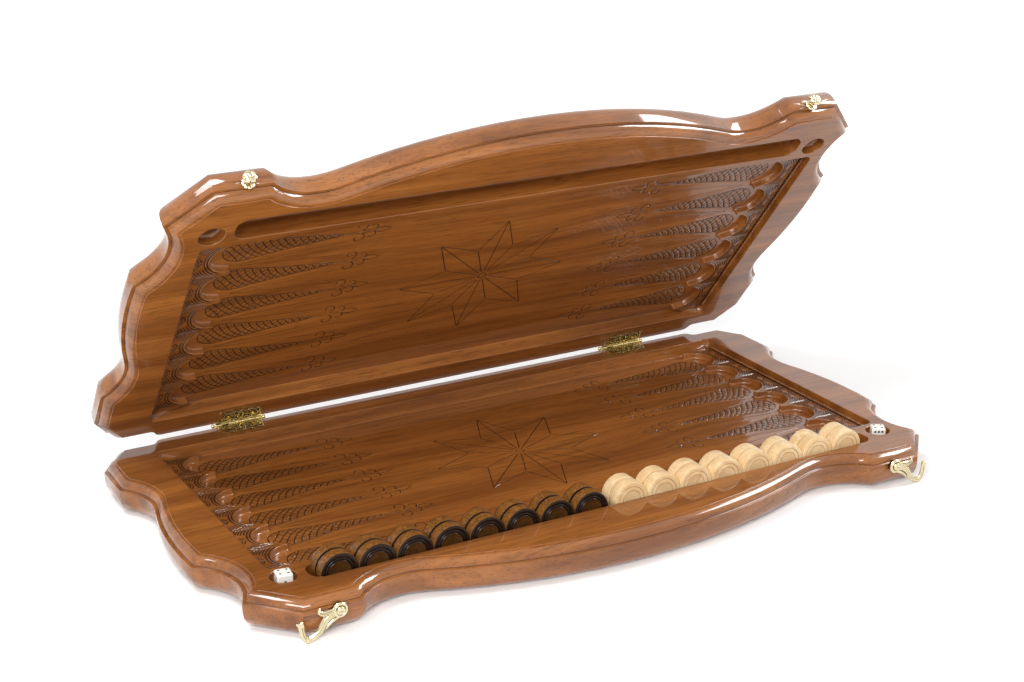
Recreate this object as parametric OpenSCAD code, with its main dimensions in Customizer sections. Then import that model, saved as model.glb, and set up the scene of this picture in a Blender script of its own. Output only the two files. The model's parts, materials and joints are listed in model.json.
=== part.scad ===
// Folding backgammon board: two carved wooden halves on a pair of hinges, with a hook at each
// front corner, a row of checkers in the base's rack and a die in each corner hole.
// Millimetres. The origin is on the floor under the middle of the base, +X runs along the hinges
// and +Z is up. Shapes are drawn with y = 0 at the base's hinge edge and moved to the origin last.

/* [Pieces] */
// Diameter of a checker
checker_d = 27.7; // [24:0.1:31]
// Thickness of a checker
checker_t = 10; // [8:0.1:12]
// Bevel round a checker's faces
checker_bevel = 1; // [0.5:0.1:1.5]
// Depth of the turned grooves in a checker's faces
groove_depth = 0.8; // [0.4:0.1:1.2]
// Depth of the dished middle of a checker's faces
dish_depth = 1.1; // [0.6:0.1:1.6]
// Clearance round a checker in the rack
checker_gap = 0.4; // [0.3:0.05:0.6]
// Clearance between neighbouring checkers of one row
row_gap = 0.3; // [0.2:0.05:0.6]
// Pairs of checkers of each colour
pairs = 8; // [6:1:8]
// Free space left of the dark checkers
dark_space = 5.2; // [2:0.1:12]
// Free space between the two colours
middle_space = 6.4; // [2:0.1:14]
// Free space right of the light checkers
light_space = 11.6; // [6:0.1:20]
// Edge length of a die
die_w = 11; // [10:0.1:12]
// Rounding of a die: diameter of the ball that trims its corners
die_ball = 15.6; // [15:0.1:17]
// Turn of the left die in its hole
die_left_turn = -8; // [-45:1:45]
// Turn of the right die in its hole
die_right_turn = -29; // [-45:1:45]

/* [Halves] */
// Thickness of each half
half_t = 27; // [25:0.5:34]
// How far the lid stands open
lid_angle = 50.8; // [10:0.1:170]
// Gap between the rims of the closed board
rim_gap = 1; // [0.8:0.1:2]
// Rim behind the field, along the hinges
back_rail = 22.8; // [20:0.1:30]
// Depth of the carved field, front to back
field_d = 227.5; // [200:0.5:250]
// Ridge between the field and the rack
ridge_w = 6.7; // [4:0.1:10]
// Rim in front of the rack at the middle of the board
front_rail = 38.7; // [37:0.1:45]
// Depth of the rack below the rim
rack_depth = 15; // [12:0.1:18]
// Corner radius of the rack
rack_r = 8.5; // [3:0.1:9]
// Depth of the carved end strips below the rim
strip_depth = 6.2; // [4:0.1:8]
// Depth of the field below the rim
field_depth = 11.4; // [9:0.1:14]
// How far the field reaches past each end of the rack
field_over = 22.7; // [18:0.1:24]
// Corner radius of the field
field_r = 5; // [2:0.1:8]
// Points at each end of the field
points = 6; // [4:1:6]
// Field left free beside the first and last cups
cup_margin = 7.25; // [4:0.05:12]
// Width of the lobes between the cups
lobe_w = 4; // [2:0.1:8]
// Width of the end strip behind each cup
strip_w = 14.5; // [10:0.1:20]
// Diameter of the die holes
die_hole_d = 18.8; // [17:0.1:22]
// Depth of the die holes
die_hole_depth = 8; // [6:0.1:11]
// Wood between the rack and a die hole
die_land = 6.9; // [3:0.1:9]
// Die hole's offset from the rack's middle towards the field
die_hole_back = 3; // [0:0.1:5]

/* [Outline] */
// Length from the end of the rack to the straight part of the end, at the rim
end_len = 56.2; // [50:0.1:65]
// End of the hinge edge's straight part, measured from the end of the board
back_inset = 45.9; // [40:0.1:60]
// Width of the small curved step at the end of the hinge edge
step_w = 10.4; // [6:0.1:14]
// Depth of that step
step_d = 7.2; // [4:0.1:10]
// Corner cut beside the hinge edge, along the length
corner_x = 13.5; // [8:0.1:20]
// Corner cut beside the hinge edge, along the depth
corner_y = 20.9; // [12:0.1:26]
// Depth of the bay in the end
bay_in = 13.4; // [10:0.1:18]
// Distance of the bay from the hinge edge
bay_y = 97; // [92:0.5:102]
// Radius of the bay
bay_r = 56; // [50:0.5:60]
// How far the swell lies inside the end line
swell_in = 2.2; // [1:0.1:4]
// Distance of the swell from the hinge edge
swell_y = 180.6; // [170:0.5:190]
// Depth of the cove in front of the swell
cove_in = 22.5; // [18:0.1:25]
// Distance of the cove from the front
cove_y = 69; // [65:0.5:75]
// Radius of the coves
cove_r = 56; // [50:0.5:62]
// Distance of the front corner's notch from the front
notch_y = 43.2; // [40:0.1:48]
// Front corner, measured from the end of the board
clip_in = 39.5; // [34:0.1:46]
// Length of the flat that carries a hook
flat_len = 34.3; // [30:0.1:40]
// Set-back of that flat behind the middle of the front
flat_in = 17.7; // [15:0.1:22]
// Set-back of the front coves behind the middle of the front
front_cove_in = 34.7; // [32:0.1:37]

/* [Edge moulding] */
// Height of the small step under the rim
rim_step = 0.8; // [0.4:0.1:2]
// Radius of the quarter round
ovolo_r = 6; // [4:0.1:8]
// Width of the ledge below it
ledge_w = 2.5; // [1:0.1:4]
// Fall of that ledge to the upright side
ledge_drop = 0.3; // [0.1:0.1:1]
// Height of the upright side
side_h = 6.7; // [4:0.1:9]
// How far the rounded underside runs in
under_w = 13; // [8:0.1:18]

/* [Hinges] */
// Distance of each hinge from the middle
hinge_x = 180.5; // [120:0.5:200]
// Hinge axis behind the hinge edge
hinge_out = 2.8; // [2.5:0.1:4]
// Length of a hinge
hinge_len = 39; // [30:0.5:50]
// Outer radius of a knuckle
knuckle_r = 1.6; // [1.4:0.05:2]
// Knuckles of one hinge
knuckles = 7; // [5:2:9]
// Gap between knuckles
knuckle_gap = 0.3; // [0.2:0.05:0.5]
// Radius of the hinge pin
pin_r = 0.75; // [0.6:0.05:0.9]
// Running clearance round the pin
pin_gap = 0.05; // [0.02:0.01:0.1]
// Radius of the ball on each end of the pin
finial_r = 1.7; // [1.2:0.05:2.2]
// Depth of a leaf, from the hinge axis
leaf_d = 17.5; // [14:0.1:20]
// Width of a leaf at its free edge
leaf_tip_w = 30; // [24:0.5:36]
// Thickness of a leaf
leaf_t = 1.2; // [0.8:0.05:1.6]
// How far a leaf stands above the rim
leaf_proud = 0.3; // [0.2:0.05:0.4]
// Clearance of a leaf in its recess
leaf_gap = 0.15; // [0.05:0.05:0.4]
// Distance between the two screws of a leaf
leaf_screw_pitch = 20; // [14:0.5:26]
// Distance of the screws from the hinge axis
leaf_screw_d = 10; // [7:0.1:13]
// Radius of a screw's head
screw_head_r = 2; // [1.6:0.05:2.6]
// Radius of a screw's shank
screw_r = 1; // [0.8:0.05:1.3]
// Length of a screw
screw_len = 9; // [6:0.5:11]
// Clearance round a screw
screw_gap = 0.1; // [0.05:0.01:0.2]
// Width and depth of a screw slot
screw_slot = 0.5; // [0.3:0.05:0.8]

/* [Hooks and knobs] */
// Hook pivot, measured from the front corner along the flat
hook_inset = 20.5; // [15:0.1:24]
// Pivots and knobs below the rim
catch_drop = 9; // [8.6:0.1:11]
// Hang of the hook below the horizontal
hook_hang = 34; // [20:1:36]
// Radius of the hook's eye
eye_r = 5.2; // [4.5:0.1:6]
// Thickness of the hook
hook_t = 2.4; // [1.8:0.1:3]
// Pivot to the ball at the hook's end
hook_len = 28.5; // [27:0.1:30]
// Radius of that ball
hook_ball_r = 2; // [1.6:0.1:2.2]
// Width of the hook's arm
arm_w = 3; // [2.4:0.1:3.6]
// Length of the upturned finger
finger_len = 13; // [10:0.1:15]
// Length of the thorn on the arm
thorn_len = 7.4; // [5:0.1:8]
// Arm left free between the thorn's root and the knob's neck
thorn_room = 5.6; // [4.8:0.1:7]
// Radius of the pivot screw
pivot_r = 1.5; // [1.2:0.05:2]
// Running clearance round the pivot screw
pivot_gap = 0.05; // [0.02:0.01:0.1]
// Side play of the hook between its washer and the screw's head
hook_play = 0.2; // [0.1:0.05:0.4]
// Radius of the pivot screw's head
pivot_head_r = 3; // [2.4:0.1:4]
// Height of the pivot screw's head
pivot_head_h = 1.5; // [1:0.1:2.5]
// Length of the pivot screw in the wood
pivot_grip = 12; // [8:0.5:16]
// Radius of the washer behind the hook
washer_r = 4.6; // [3.5:0.1:5.5]
// Thickness of that washer
washer_t = 2; // [1.4:0.1:3]
// Radius of a knob's neck
neck_r = 1.8; // [1.4:0.1:2]
// Room between the hook and the knob's head
knob_room = 0.6; // [0.4:0.1:1.2]
// Radius of a knob's head
knob_r = 5.2; // [4:0.1:6]
// Length of a knob's head
knob_len = 5; // [4.2:0.1:7]
// Radius of the rounded edge of a knob's head
knob_edge_r = 2; // [1.6:0.1:2.1]
// Radius of the crown on a knob's head
crown_r = 1.8; // [1.4:0.1:2.2]
// Radius of the knob's foot plate
knob_foot_r = 4; // [3:0.1:5]
// Thickness of the knob's foot plate
knob_foot_t = 1.2; // [0.8:0.1:2]

/* [Hidden] */
$fn = 48;
seat_gap = 0.3;
over = 1;
// Straight pieces of each kind of curve
cup_steps = 16;
corner_steps = 8;
step_steps = 3;
bay_steps = 8;
swell_steps = 6;
cove_steps = 10;
dip_steps = 9;
bulge_steps = 8;
bead_steps = 4;
quarter_step = 18;
// Points and lines closer than these count as the same and as parallel
same = 0.01;
parallel = 1e-6;
// The rack is as long as its checkers and free spaces, and as wide as a pair
row_pitch = checker_d + row_gap;
row_len = pairs * row_pitch - row_gap;
rack_len = 2 * row_len + dark_space + middle_space + light_space;
rack_half = rack_len / 2;
rack_w = 2 * checker_t + 3 * checker_gap;
rack_back = -back_rail - field_d - ridge_w;
rack_front = rack_back - rack_w;
rack_mid = (rack_back + rack_front) / 2;
// The rim's outline, from the middle of the board to its end and its front
end_x = rack_half + end_len;
front_y = rack_front - front_rail;
mould_w = ovolo_r + ledge_w;
board_depth = mould_w - front_y;
field_half = rack_half + field_over;
field_front = -back_rail - field_d;
field_mid = (field_front - back_rail) / 2;
cup_pitch = (field_d - 2 * cup_margin) / points;
cup_r = (cup_pitch - lobe_w) / 2;
cup_x = field_half - strip_w - cup_r;
die_x = rack_half + die_land + die_hole_d / 2;
die_y = rack_mid + die_hole_back;
// Hinge axis of the closed and open board
hinge_z = half_t + rim_gap / 2;
knuckle_len = (hinge_len - (knuckles - 1) * knuckle_gap) / knuckles;
// Hooks and knobs on the upright front flats
flat_y = front_y + flat_in;
clip_x = end_x - clip_in;
hook_x = clip_x - hook_inset;
face_y = flat_y - mould_w;
pivot_z = half_t - catch_drop;
knob_reach = washer_t + hook_t + hook_play + knob_room;
throat_r = 2 * catch_drop + rim_gap;
// Run of the hook's arm, thorn and finger as shares of their length, and their widths as shares
// of the arm's
arm_curve = [[0, 0], [0.3, 0.17], [0.5, 0.07], [0.75, -0.3], [1, -0.13]];
arm_taper = [1.5, 1.2, 1, 0.85, 0.8];
thorn_curve = [[0, 0], [0.15, 0.6], [0.4, 0.95]];
thorn_taper = [1, 0.7, 0.35];
finger_curve = [[0, 0], [0.02, 0.5], [-0.28, 0.96]];
finger_taper = [0.8, 0.7, 1];
// Turned face of a checker: flat land, slopes, groove floor and bead, and the lip of its dish
land_w = 1.6;
slope_w = 0.8;
ring_w = 1.2;
bead_drop = 0.2;
lip_w = 1;

DARK = [for (i = [1 : 2 * pairs]) str("dark_checker_", i)];
LIGHT = [for (i = [1 : 2 * pairs]) str("light_checker_", i)];

walnut = [0.45, 0.25, 0.10];
walnut_lid = [0.42, 0.23, 0.09];
gold = [0.85, 0.75, 0.45];
old_gold = [0.60, 0.50, 0.25];
ivory = [0.95, 0.94, 0.90];
dark_wood = [0.25, 0.15, 0.08];
light_wood = [0.90, 0.78, 0.55];

// Points on an arc about c, from angle a0 to angle a1 in n steps
function arc(c, r, a0, a1, n) =
    [for (i = [0 : n]) let (a = a0 + (a1 - a0) * i / n) c + r * [cos(a), sin(a)]];
function bearing(from, to) = let (a = atan2(to.y - from.y, to.x - from.x)) a < 0 ? a + 360 : a;
// The crossing of two circles that lies to the left of the line between their middles
function crossing(c0, r0, c1, r1) =
    let (d = norm(c1 - c0), u = (c1 - c0) / d, a = (d * d + r0 * r0 - r1 * r1) / (2 * d))
    c0 + a * u + sqrt(r0 * r0 - a * a) * [-u.y, u.x];

// Right half of the rim's outline, from the hinge edge round the end to the middle of the front
function outline_right() =
    let (
        step_r = (step_w * step_w + step_d * step_d) / (4 * step_d),
        step_a = asin(step_w / (2 * step_r)),
        back_x = end_x - back_inset,
        bay_c = [end_x - bay_in + bay_r, -bay_y],
        bay_start = bay_c + [end_x - bay_c.x, sqrt(bay_r * bay_r - pow(bay_c.x - end_x, 2))],
        lead = bay_r - bay_in + swell_in,
        rise = swell_y - bay_y,
        swell_r = (lead * lead + rise * rise - bay_r * bay_r) / (2 * (bay_r - lead)),
        swell_c = [end_x - swell_in - swell_r, -swell_y],
        cove_c = [end_x - cove_in + cove_r, front_y + cove_y],
        cusp = crossing(swell_c, swell_r, cove_c, cove_r),
        notch_dy = front_y + notch_y - cove_c.y,
        notch = cove_c + [-sqrt(cove_r * cove_r - notch_dy * notch_dy), notch_dy],
        dip_y = front_y + front_cove_in - cove_r,
        dip_half = sqrt(cove_r * cove_r - pow(flat_y - dip_y, 2)),
        dip_c = [clip_x - flat_len - dip_half, dip_y],
        bulge_r = (dip_c.x * dip_c.x + front_cove_in * front_cove_in) / (2 * front_cove_in) - cove_r,
        bulge_c = [0, front_y + bulge_r],
        bulge_start = dip_c + cove_r * (bulge_c - dip_c) / norm(bulge_c - dip_c))
    concat(
        arc([back_x, -step_r], step_r, 90, 90 - step_a, step_steps),
        arc([back_x + step_w, step_r - step_d], step_r, 270 - step_a, 270, step_steps),
        [[end_x - corner_x, -step_d], [end_x, -step_d - corner_y]],
        arc(bay_c, bay_r, bearing(bay_c, bay_start), bearing(bay_c, swell_c), bay_steps),
        arc(swell_c, swell_r, bearing(swell_c, bay_c), bearing(swell_c, cusp) - 360, swell_steps),
        arc(cove_c, cove_r, bearing(cove_c, cusp), bearing(cove_c, notch), cove_steps),
        [[clip_x, flat_y]],
        arc(dip_c, cove_r, bearing(dip_c, [dip_c.x + dip_half, flat_y]), bearing(dip_c, bulge_c), dip_steps),
        arc(bulge_c, bulge_r, bearing(bulge_c, dip_c), 270, bulge_steps));

// A list without points that repeat the one before them
function distinct(pts) =
    [for (i = [0 : len(pts) - 1]) if (i == 0 || norm(pts[i] - pts[i - 1]) > same) pts[i]];
function outline() =
    let (right = distinct(outline_right()), n = len(right))
    concat(right, [for (i = [n - 2 : -1 : 0]) [-right[i].x, right[i].y]]);

// Outward normal of an edge of the outline, which runs clockwise as seen from above
function edge_normal(a, b) = let (d = (b - a) / norm(b - a)) [-d.y, d.x];
// The hinge edge is square: only edges past its set-back carry the moulding
function edge_weight(a, b) = min(a.y, b.y) > -step_d - same ? 0 : 1;
// How a corner moves for each millimetre that its two edges move outwards
function mitre(n1, w1, n2, w2) =
    let (det = n1.x * n2.y - n1.y * n2.x)
    abs(det) < parallel ? w1 * n1 : [w1 * n2.y - w2 * n1.y, w2 * n1.x - w1 * n2.x] / det;

// Edge profile from above the rim down: [distance outside the rim's outline, height]
edge_profile = let (
        ledge_z = half_t - rim_step - ovolo_r,
        side_z = ledge_z - ledge_drop,
        under_z = side_z - side_h)
    concat(
        [[0, half_t + over]],
        [for (a = [0 : quarter_step : 90]) [ovolo_r * sin(a), ledge_z + ovolo_r * cos(a)]],
        [[mould_w, side_z]],
        [for (a = [0 : quarter_step : 90])
            [mould_w - under_w + under_w * cos(a), under_z * (1 - sin(a))]]);

// One half without its hollows, rim up and trimmed to its thickness by one plane
module slab() {
    rim = outline();
    n = len(rim);
    levels = len(edge_profile);
    mitres = [for (i = [0 : n - 1])
        let (a = rim[(i + n - 1) % n], b = rim[i], c = rim[(i + 1) % n])
        mitre(edge_normal(a, b), edge_weight(a, b), edge_normal(b, c), edge_weight(b, c))];
    pts = [for (p = edge_profile, i = [0 : n - 1])
        let (q = rim[i] + p[0] * mitres[i]) [q.x, q.y, p[1]]];
    sides = [for (k = [0 : levels - 2], i = [0 : n - 1])
        let (j = (i + 1) % n) [k * n + j, k * n + i, (k + 1) * n + i, (k + 1) * n + j]];
    top = [for (i = [0 : n - 1]) i];
    bottom = [for (i = [n - 1 : -1 : 0]) (levels - 1) * n + i];
    difference() {
        polyhedron(pts, concat([top, bottom], sides));
        translate([-end_x - over, front_y - over, half_t])
            cube([2 * (end_x + over), -front_y + 2 * over, 2 * over]);
    }
}

// A rectangle with rounded corners
function round_rect(x0, x1, y0, y1, r) =
    concat(arc([x1 - r, y1 - r], r, 0, 90, corner_steps), arc([x0 + r, y1 - r], r, 90, 180, corner_steps),
           arc([x0 + r, y0 + r], r, 180, 270, corner_steps), arc([x1 - r, y0 + r], r, 270, 360, corner_steps));

// Plan of the right end strip: a half-round cup for each point with a round lobe between cups,
// carried past the walls on the other sides
function strip_plan() =
    let (
        first = field_mid - cup_pitch * (points + 1) / 2,
        edge = [for (i = [0 : points + 1]) let (y = first + i * cup_pitch) concat(
            arc([cup_x, y], cup_r, -90, 90, cup_steps),
            i > points ? [] : arc([cup_x, y + cup_pitch / 2], lobe_w / 2, 270, 90, corner_steps))])
    concat(
        distinct([for (run = edge) each run]),
        [[field_half + over, -first + 2 * field_mid + cup_r], [field_half + over, first - cup_r]]);

// The field's hollow, with a raised strip left at each end
module field_cut() {
    difference() {
        translate([0, 0, half_t - field_depth]) linear_extrude(field_depth + over)
            polygon(round_rect(-field_half, field_half, field_front, -back_rail, field_r));
        for (end = [0, 1]) mirror([end, 0, 0])
            translate([0, 0, half_t - field_depth - over])
                linear_extrude(field_depth - strip_depth + over) polygon(strip_plan());
    }
}

// Outline of a hinge leaf, grown by a clearance
module leaf_shape(gap) {
    rear = hinge_out - knuckle_r - knuckle_gap;
    polygon([[-hinge_len / 2 - gap, rear], [hinge_len / 2 + gap, rear],
             [leaf_tip_w / 2 + gap, hinge_out - leaf_d - gap],
             [-leaf_tip_w / 2 - gap, hinge_out - leaf_d - gap]]);
}

// Places of the two screws of one leaf
module at_leaf_screws() {
    for (s = [-1, 1])
        translate([s * leaf_screw_pitch / 2, hinge_out - leaf_screw_d, half_t + leaf_proud]) children();
}

// A finished half, rim up, with a hole of radius fixing_r for its hook or knob
module half_board(fixing_r, fixing_len) {
    difference() {
        slab();
        field_cut();
        translate([0, 0, half_t - rack_depth]) linear_extrude(rack_depth + over)
            polygon(round_rect(-rack_half, rack_half, rack_front, rack_back, rack_r));
        for (side = [-1, 1]) {
            translate([side * die_x, die_y, half_t - die_hole_depth])
                cylinder(d = die_hole_d, h = die_hole_depth + over);
            translate([side * hinge_x, 0, half_t + leaf_proud - leaf_t])
                linear_extrude(leaf_t + over) leaf_shape(leaf_gap);
            translate([side * hinge_x, 0, 0]) at_leaf_screws()
                translate([0, 0, -screw_len - screw_gap])
                    cylinder(r = screw_r + screw_gap, h = screw_len + over);
            translate([side * hook_x, face_y - over, pivot_z]) rotate([-90, 0, 0])
                cylinder(r = fixing_r + screw_gap, h = fixing_len + screw_gap + over);
        }
    }
}

// From the hinge edge's coordinates to the part's origin
module to_origin() {
    translate([0, board_depth / 2, 0]) children();
}

// Shapes drawn as a rim-up half, turned over the hinge axis and opened
module as_lid() {
    translate([0, hinge_out, hinge_z]) rotate([-lid_angle, 0, 0]) mirror([0, 0, 1])
        translate([0, -hinge_out, -hinge_z]) children();
}

module base_board() {
    color(walnut) to_origin() half_board(pivot_r, pivot_grip);
}

module lid_board() {
    color(walnut_lid) to_origin() as_lid() half_board(neck_r, pivot_grip);
}

// One hinge leaf lying on a rim-up half, with every second knuckle from the first given
module hinge_leaf(first) {
    difference() {
        union() {
            translate([0, 0, half_t + leaf_proud - leaf_t]) linear_extrude(leaf_t) leaf_shape(0);
            for (i = [first : 2 : knuckles - 1])
                translate([-hinge_len / 2 + i * (knuckle_len + knuckle_gap), hinge_out, hinge_z]) {
                    rotate([0, 90, 0]) cylinder(r = knuckle_r, h = knuckle_len);
                    web_z = half_t + leaf_proud - leaf_t - hinge_z;
                    translate([0, -knuckle_r - knuckle_gap - over, web_z])
                        cube([knuckle_len, knuckle_r + knuckle_gap + over, leaf_t]);
                }
        }
        translate([-hinge_len / 2 - over, hinge_out, hinge_z]) rotate([0, 90, 0])
            cylinder(r = pin_r + pin_gap, h = hinge_len + 2 * over);
        at_leaf_screws() {
            translate([0, 0, -screw_len]) cylinder(r = screw_r + screw_gap, h = screw_len + over);
            translate([0, 0, screw_r - screw_head_r])
                cylinder(r1 = screw_r + screw_gap, r2 = screw_head_r + screw_gap,
                         h = screw_head_r - screw_r);
            cylinder(r = screw_head_r + screw_gap, h = over);
        }
    }
}

module base_hinge_leaf(side) {
    color(old_gold) to_origin() translate([side * hinge_x, 0, 0]) hinge_leaf(0);
}

module lid_hinge_leaf(side) {
    color(old_gold) to_origin() as_lid() translate([side * hinge_x, 0, 0]) hinge_leaf(1);
}

// The pin through one hinge, with a ball outside each end
module hinge_pin(side) {
    color(old_gold) to_origin() translate([side * hinge_x, hinge_out, hinge_z]) rotate([0, 90, 0]) {
        ball_z = hinge_len / 2 + knuckle_gap + finial_r;
        translate([0, 0, -ball_z]) cylinder(r = pin_r, h = 2 * ball_z);
        for (s = [-1, 1]) translate([0, 0, s * ball_z]) sphere(r = finial_r);
    }
}

// A countersunk screw with its head's top at z = 0
module leaf_screw() {
    difference() {
        union() {
            translate([0, 0, -screw_len]) cylinder(r = screw_r, h = screw_len);
            translate([0, 0, screw_r - screw_head_r])
                cylinder(r1 = screw_r, r2 = screw_head_r, h = screw_head_r - screw_r);
        }
        translate([-screw_head_r, -screw_slot / 2, -screw_slot])
            cube([2 * screw_head_r, screw_slot, screw_slot + over]);
    }
}

module leaf_screws() {
    for (side = [-1, 1]) translate([side * hinge_x, 0, 0]) at_leaf_screws() leaf_screw();
}

module base_hinge_screws() {
    color(old_gold) to_origin() leaf_screws();
}

module lid_hinge_screws() {
    color(old_gold) to_origin() as_lid() leaf_screws();
}

// A flat bar along a path, with a width at each point
module bar(path, widths) {
    n = len(path) - 1;
    normals = [for (i = [0 : n])
        let (d = path[min(i + 1, n)] - path[max(i - 1, 0)]) [-d.y, d.x] / norm(d)];
    polygon(concat([for (i = [0 : n]) path[i] + normals[i] * widths[i] / 2],
                   [for (i = [n : -1 : 0]) path[i] - normals[i] * widths[i] / 2]));
}

// A hook in its own plane: pivot at the origin, arm along +X, throat open to +Y, back on z = 0
module hook_body() {
    arm = [for (p = arm_curve) [p.x * hook_len, p.y * arm_w]];
    tip = arm[len(arm) - 1];
    thorn_root = [throat_r - neck_r - thorn_room, 0];
    finger_root = [hook_len - hook_ball_r / 2, 0];
    difference() {
        union() {
            rotate_extrude() polygon(concat(
                [[0, 0], [eye_r, 0]],
                arc([eye_r - hook_t / 2, hook_t / 2], hook_t / 2, 0, 90, bead_steps),
                [[0, hook_t]]));
            linear_extrude(hook_t) {
                bar(arm, arm_w * arm_taper);
                bar([for (p = thorn_curve) thorn_root + thorn_len * p], arm_w * thorn_taper);
                bar([for (p = finger_curve) finger_root + finger_len * p], arm_w * finger_taper);
            }
            translate([tip.x, tip.y, hook_t / 2]) sphere(r = hook_ball_r);
        }
        translate([0, 0, -over]) cylinder(r = pivot_r + pivot_gap, h = hook_t + 2 * over);
    }
}

// Shapes drawn in the plane of a front flat, facing the front: side -1 is the mirror image of 1
module at_flat(side) {
    translate([side * hook_x, face_y, pivot_z]) mirror([side < 0 ? 1 : 0, 0, 0]) rotate([90, 0, 0])
        children();
}

module hook(side) {
    color(gold) to_origin() at_flat(side) translate([0, 0, washer_t + hook_play / 2])
        rotate([0, 0, -hook_hang]) hook_body();
}

module hook_washer(side) {
    color(gold) to_origin() at_flat(side) difference() {
        cylinder(r = washer_r, h = washer_t);
        translate([0, 0, -over]) cylinder(r = pivot_r + pivot_gap, h = washer_t + 2 * over);
    }
}

module hook_screw(side) {
    head_z = washer_t + hook_t + hook_play;
    color(gold) to_origin() at_flat(side) difference() {
        union() {
            translate([0, 0, -pivot_grip]) cylinder(r = pivot_r, h = pivot_grip + head_z + over / 2);
            translate([0, 0, head_z]) rotate_extrude() polygon(concat(
                [[0, 0]],
                [for (a = [0 : quarter_step : 90]) [pivot_head_r * cos(a), pivot_head_h * sin(a)]]));
        }
        translate([-pivot_head_r, -screw_slot / 2, head_z + pivot_head_h - screw_slot])
            cube([2 * pivot_head_r, screw_slot, over]);
    }
}

// A turned knob: stud in the wood, foot plate, neck for the hook, and a rounded head
module knob_body() {
    translate([0, 0, -pivot_grip]) cylinder(r = neck_r, h = pivot_grip + knob_reach + knob_len / 2);
    cylinder(r = knob_foot_r, h = knob_foot_t);
    translate([0, 0, knob_reach]) rotate_extrude() polygon(concat(
        [[0, 0]],
        arc([knob_r - knob_edge_r, knob_edge_r], knob_edge_r, -90, 60, corner_steps),
        arc([0, knob_len - crown_r], crown_r, 30, 90, bead_steps)));
}

module catch_knob(side) {
    color(gold) to_origin() as_lid() at_flat(side) knob_body();
}

module die(side, turn) {
    color(ivory) to_origin()
        translate([side * die_x, die_y, half_t - die_hole_depth + seat_gap + die_w / 2]) rotate([0, 0, turn])
            intersection() {
                cube(die_w, center = true);
                sphere(d = die_ball);
            }
}

// A turned checker lying on the plane z = 0: rim band, groove, two rings and a dished middle
module checker_body() {
    r = checker_d / 2;
    land = r - checker_bevel - land_w;
    groove = land - slope_w;
    bead = groove - ring_w - slope_w;
    dish = bead - ring_w - slope_w;
    face = [[r, checker_bevel], [r - checker_bevel, 0], [land, 0],
            [groove, groove_depth], [groove - ring_w, groove_depth],
            [bead, bead_drop], [bead - ring_w, bead_drop],
            [dish, groove_depth], [dish - lip_w, groove_depth / 2], [0, dish_depth]];
    rotate_extrude() polygon(concat(
        face,
        [for (i = [len(face) - 1 : -1 : 0]) [face[i].x, checker_t - face[i].y]]));
}

// Even numbers stand in the rack's back row and odd ones in its front row
module checker(x, number) {
    front = number % 2 == 1;
    y = front ? rack_front + checker_gap + checker_t : rack_back - checker_gap;
    to_origin() translate([x, y, half_t - rack_depth + seat_gap + checker_d / 2]) rotate([90, 0, 0])
        checker_body();
}

module dark_checker(number) {
    pair = floor((number - 1) / 2);
    color(dark_wood) checker(-rack_half + dark_space + checker_d / 2 + pair * row_pitch, number);
}

module light_checker(number) {
    pair = floor((number - 1) / 2);
    color(light_wood)
        checker(rack_half - light_space - row_len + checker_d / 2 + pair * row_pitch, number);
}

base_board();
lid_board();
base_hinge_leaf(-1);  // base_hinge_leaf_left
base_hinge_leaf(1);  // base_hinge_leaf_right
lid_hinge_leaf(-1);  // lid_hinge_leaf_left
lid_hinge_leaf(1);  // lid_hinge_leaf_right
hinge_pin(-1);  // hinge_pin_left
hinge_pin(1);  // hinge_pin_right
base_hinge_screws();
lid_hinge_screws();
hook(-1);  // hook_left
hook(1);  // hook_right
hook_screw(-1);  // hook_screw_left
hook_screw(1);  // hook_screw_right
hook_washer(-1);  // hook_washer_left
hook_washer(1);  // hook_washer_right
catch_knob(-1);  // catch_knob_left
catch_knob(1);  // catch_knob_right
die(-1, die_left_turn);  // die_left
die(1, die_right_turn);  // die_right
for (i = [1 : 2 * pairs]) dark_checker(i);
for (i = [1 : 2 * pairs]) light_checker(i);
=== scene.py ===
import json
import math

import bmesh
import bpy
import numpy as np
from bpy.props import FloatProperty, FloatVectorProperty, IntProperty, PointerProperty
from mathutils import Matrix, Vector
from mathutils.geometry import delaunay_2d_cdt


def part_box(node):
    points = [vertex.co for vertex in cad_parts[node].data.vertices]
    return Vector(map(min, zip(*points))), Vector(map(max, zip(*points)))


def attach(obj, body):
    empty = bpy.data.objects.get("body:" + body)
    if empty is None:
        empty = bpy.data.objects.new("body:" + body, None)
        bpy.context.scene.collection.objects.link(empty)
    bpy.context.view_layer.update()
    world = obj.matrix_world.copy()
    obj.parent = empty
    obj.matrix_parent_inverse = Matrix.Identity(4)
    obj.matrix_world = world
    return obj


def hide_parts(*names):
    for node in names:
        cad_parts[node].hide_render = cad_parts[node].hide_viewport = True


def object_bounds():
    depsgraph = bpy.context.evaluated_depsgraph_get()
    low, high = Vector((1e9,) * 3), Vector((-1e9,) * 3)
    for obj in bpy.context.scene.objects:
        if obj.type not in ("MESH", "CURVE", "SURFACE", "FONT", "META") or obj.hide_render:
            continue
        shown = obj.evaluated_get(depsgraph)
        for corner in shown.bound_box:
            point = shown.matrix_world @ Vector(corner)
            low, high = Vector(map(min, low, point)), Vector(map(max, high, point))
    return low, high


bl_info = {
    "name": "Carved backgammon board",
    "version": (1, 0, 0),
    "blender": (4, 5, 0),
    "location": "View3D > Sidebar > Board",
    "description": "Dresses a folding carved game board: halves, hinges, hooks, knobs, dice and checkers",
    "category": "Object",
}

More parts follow.
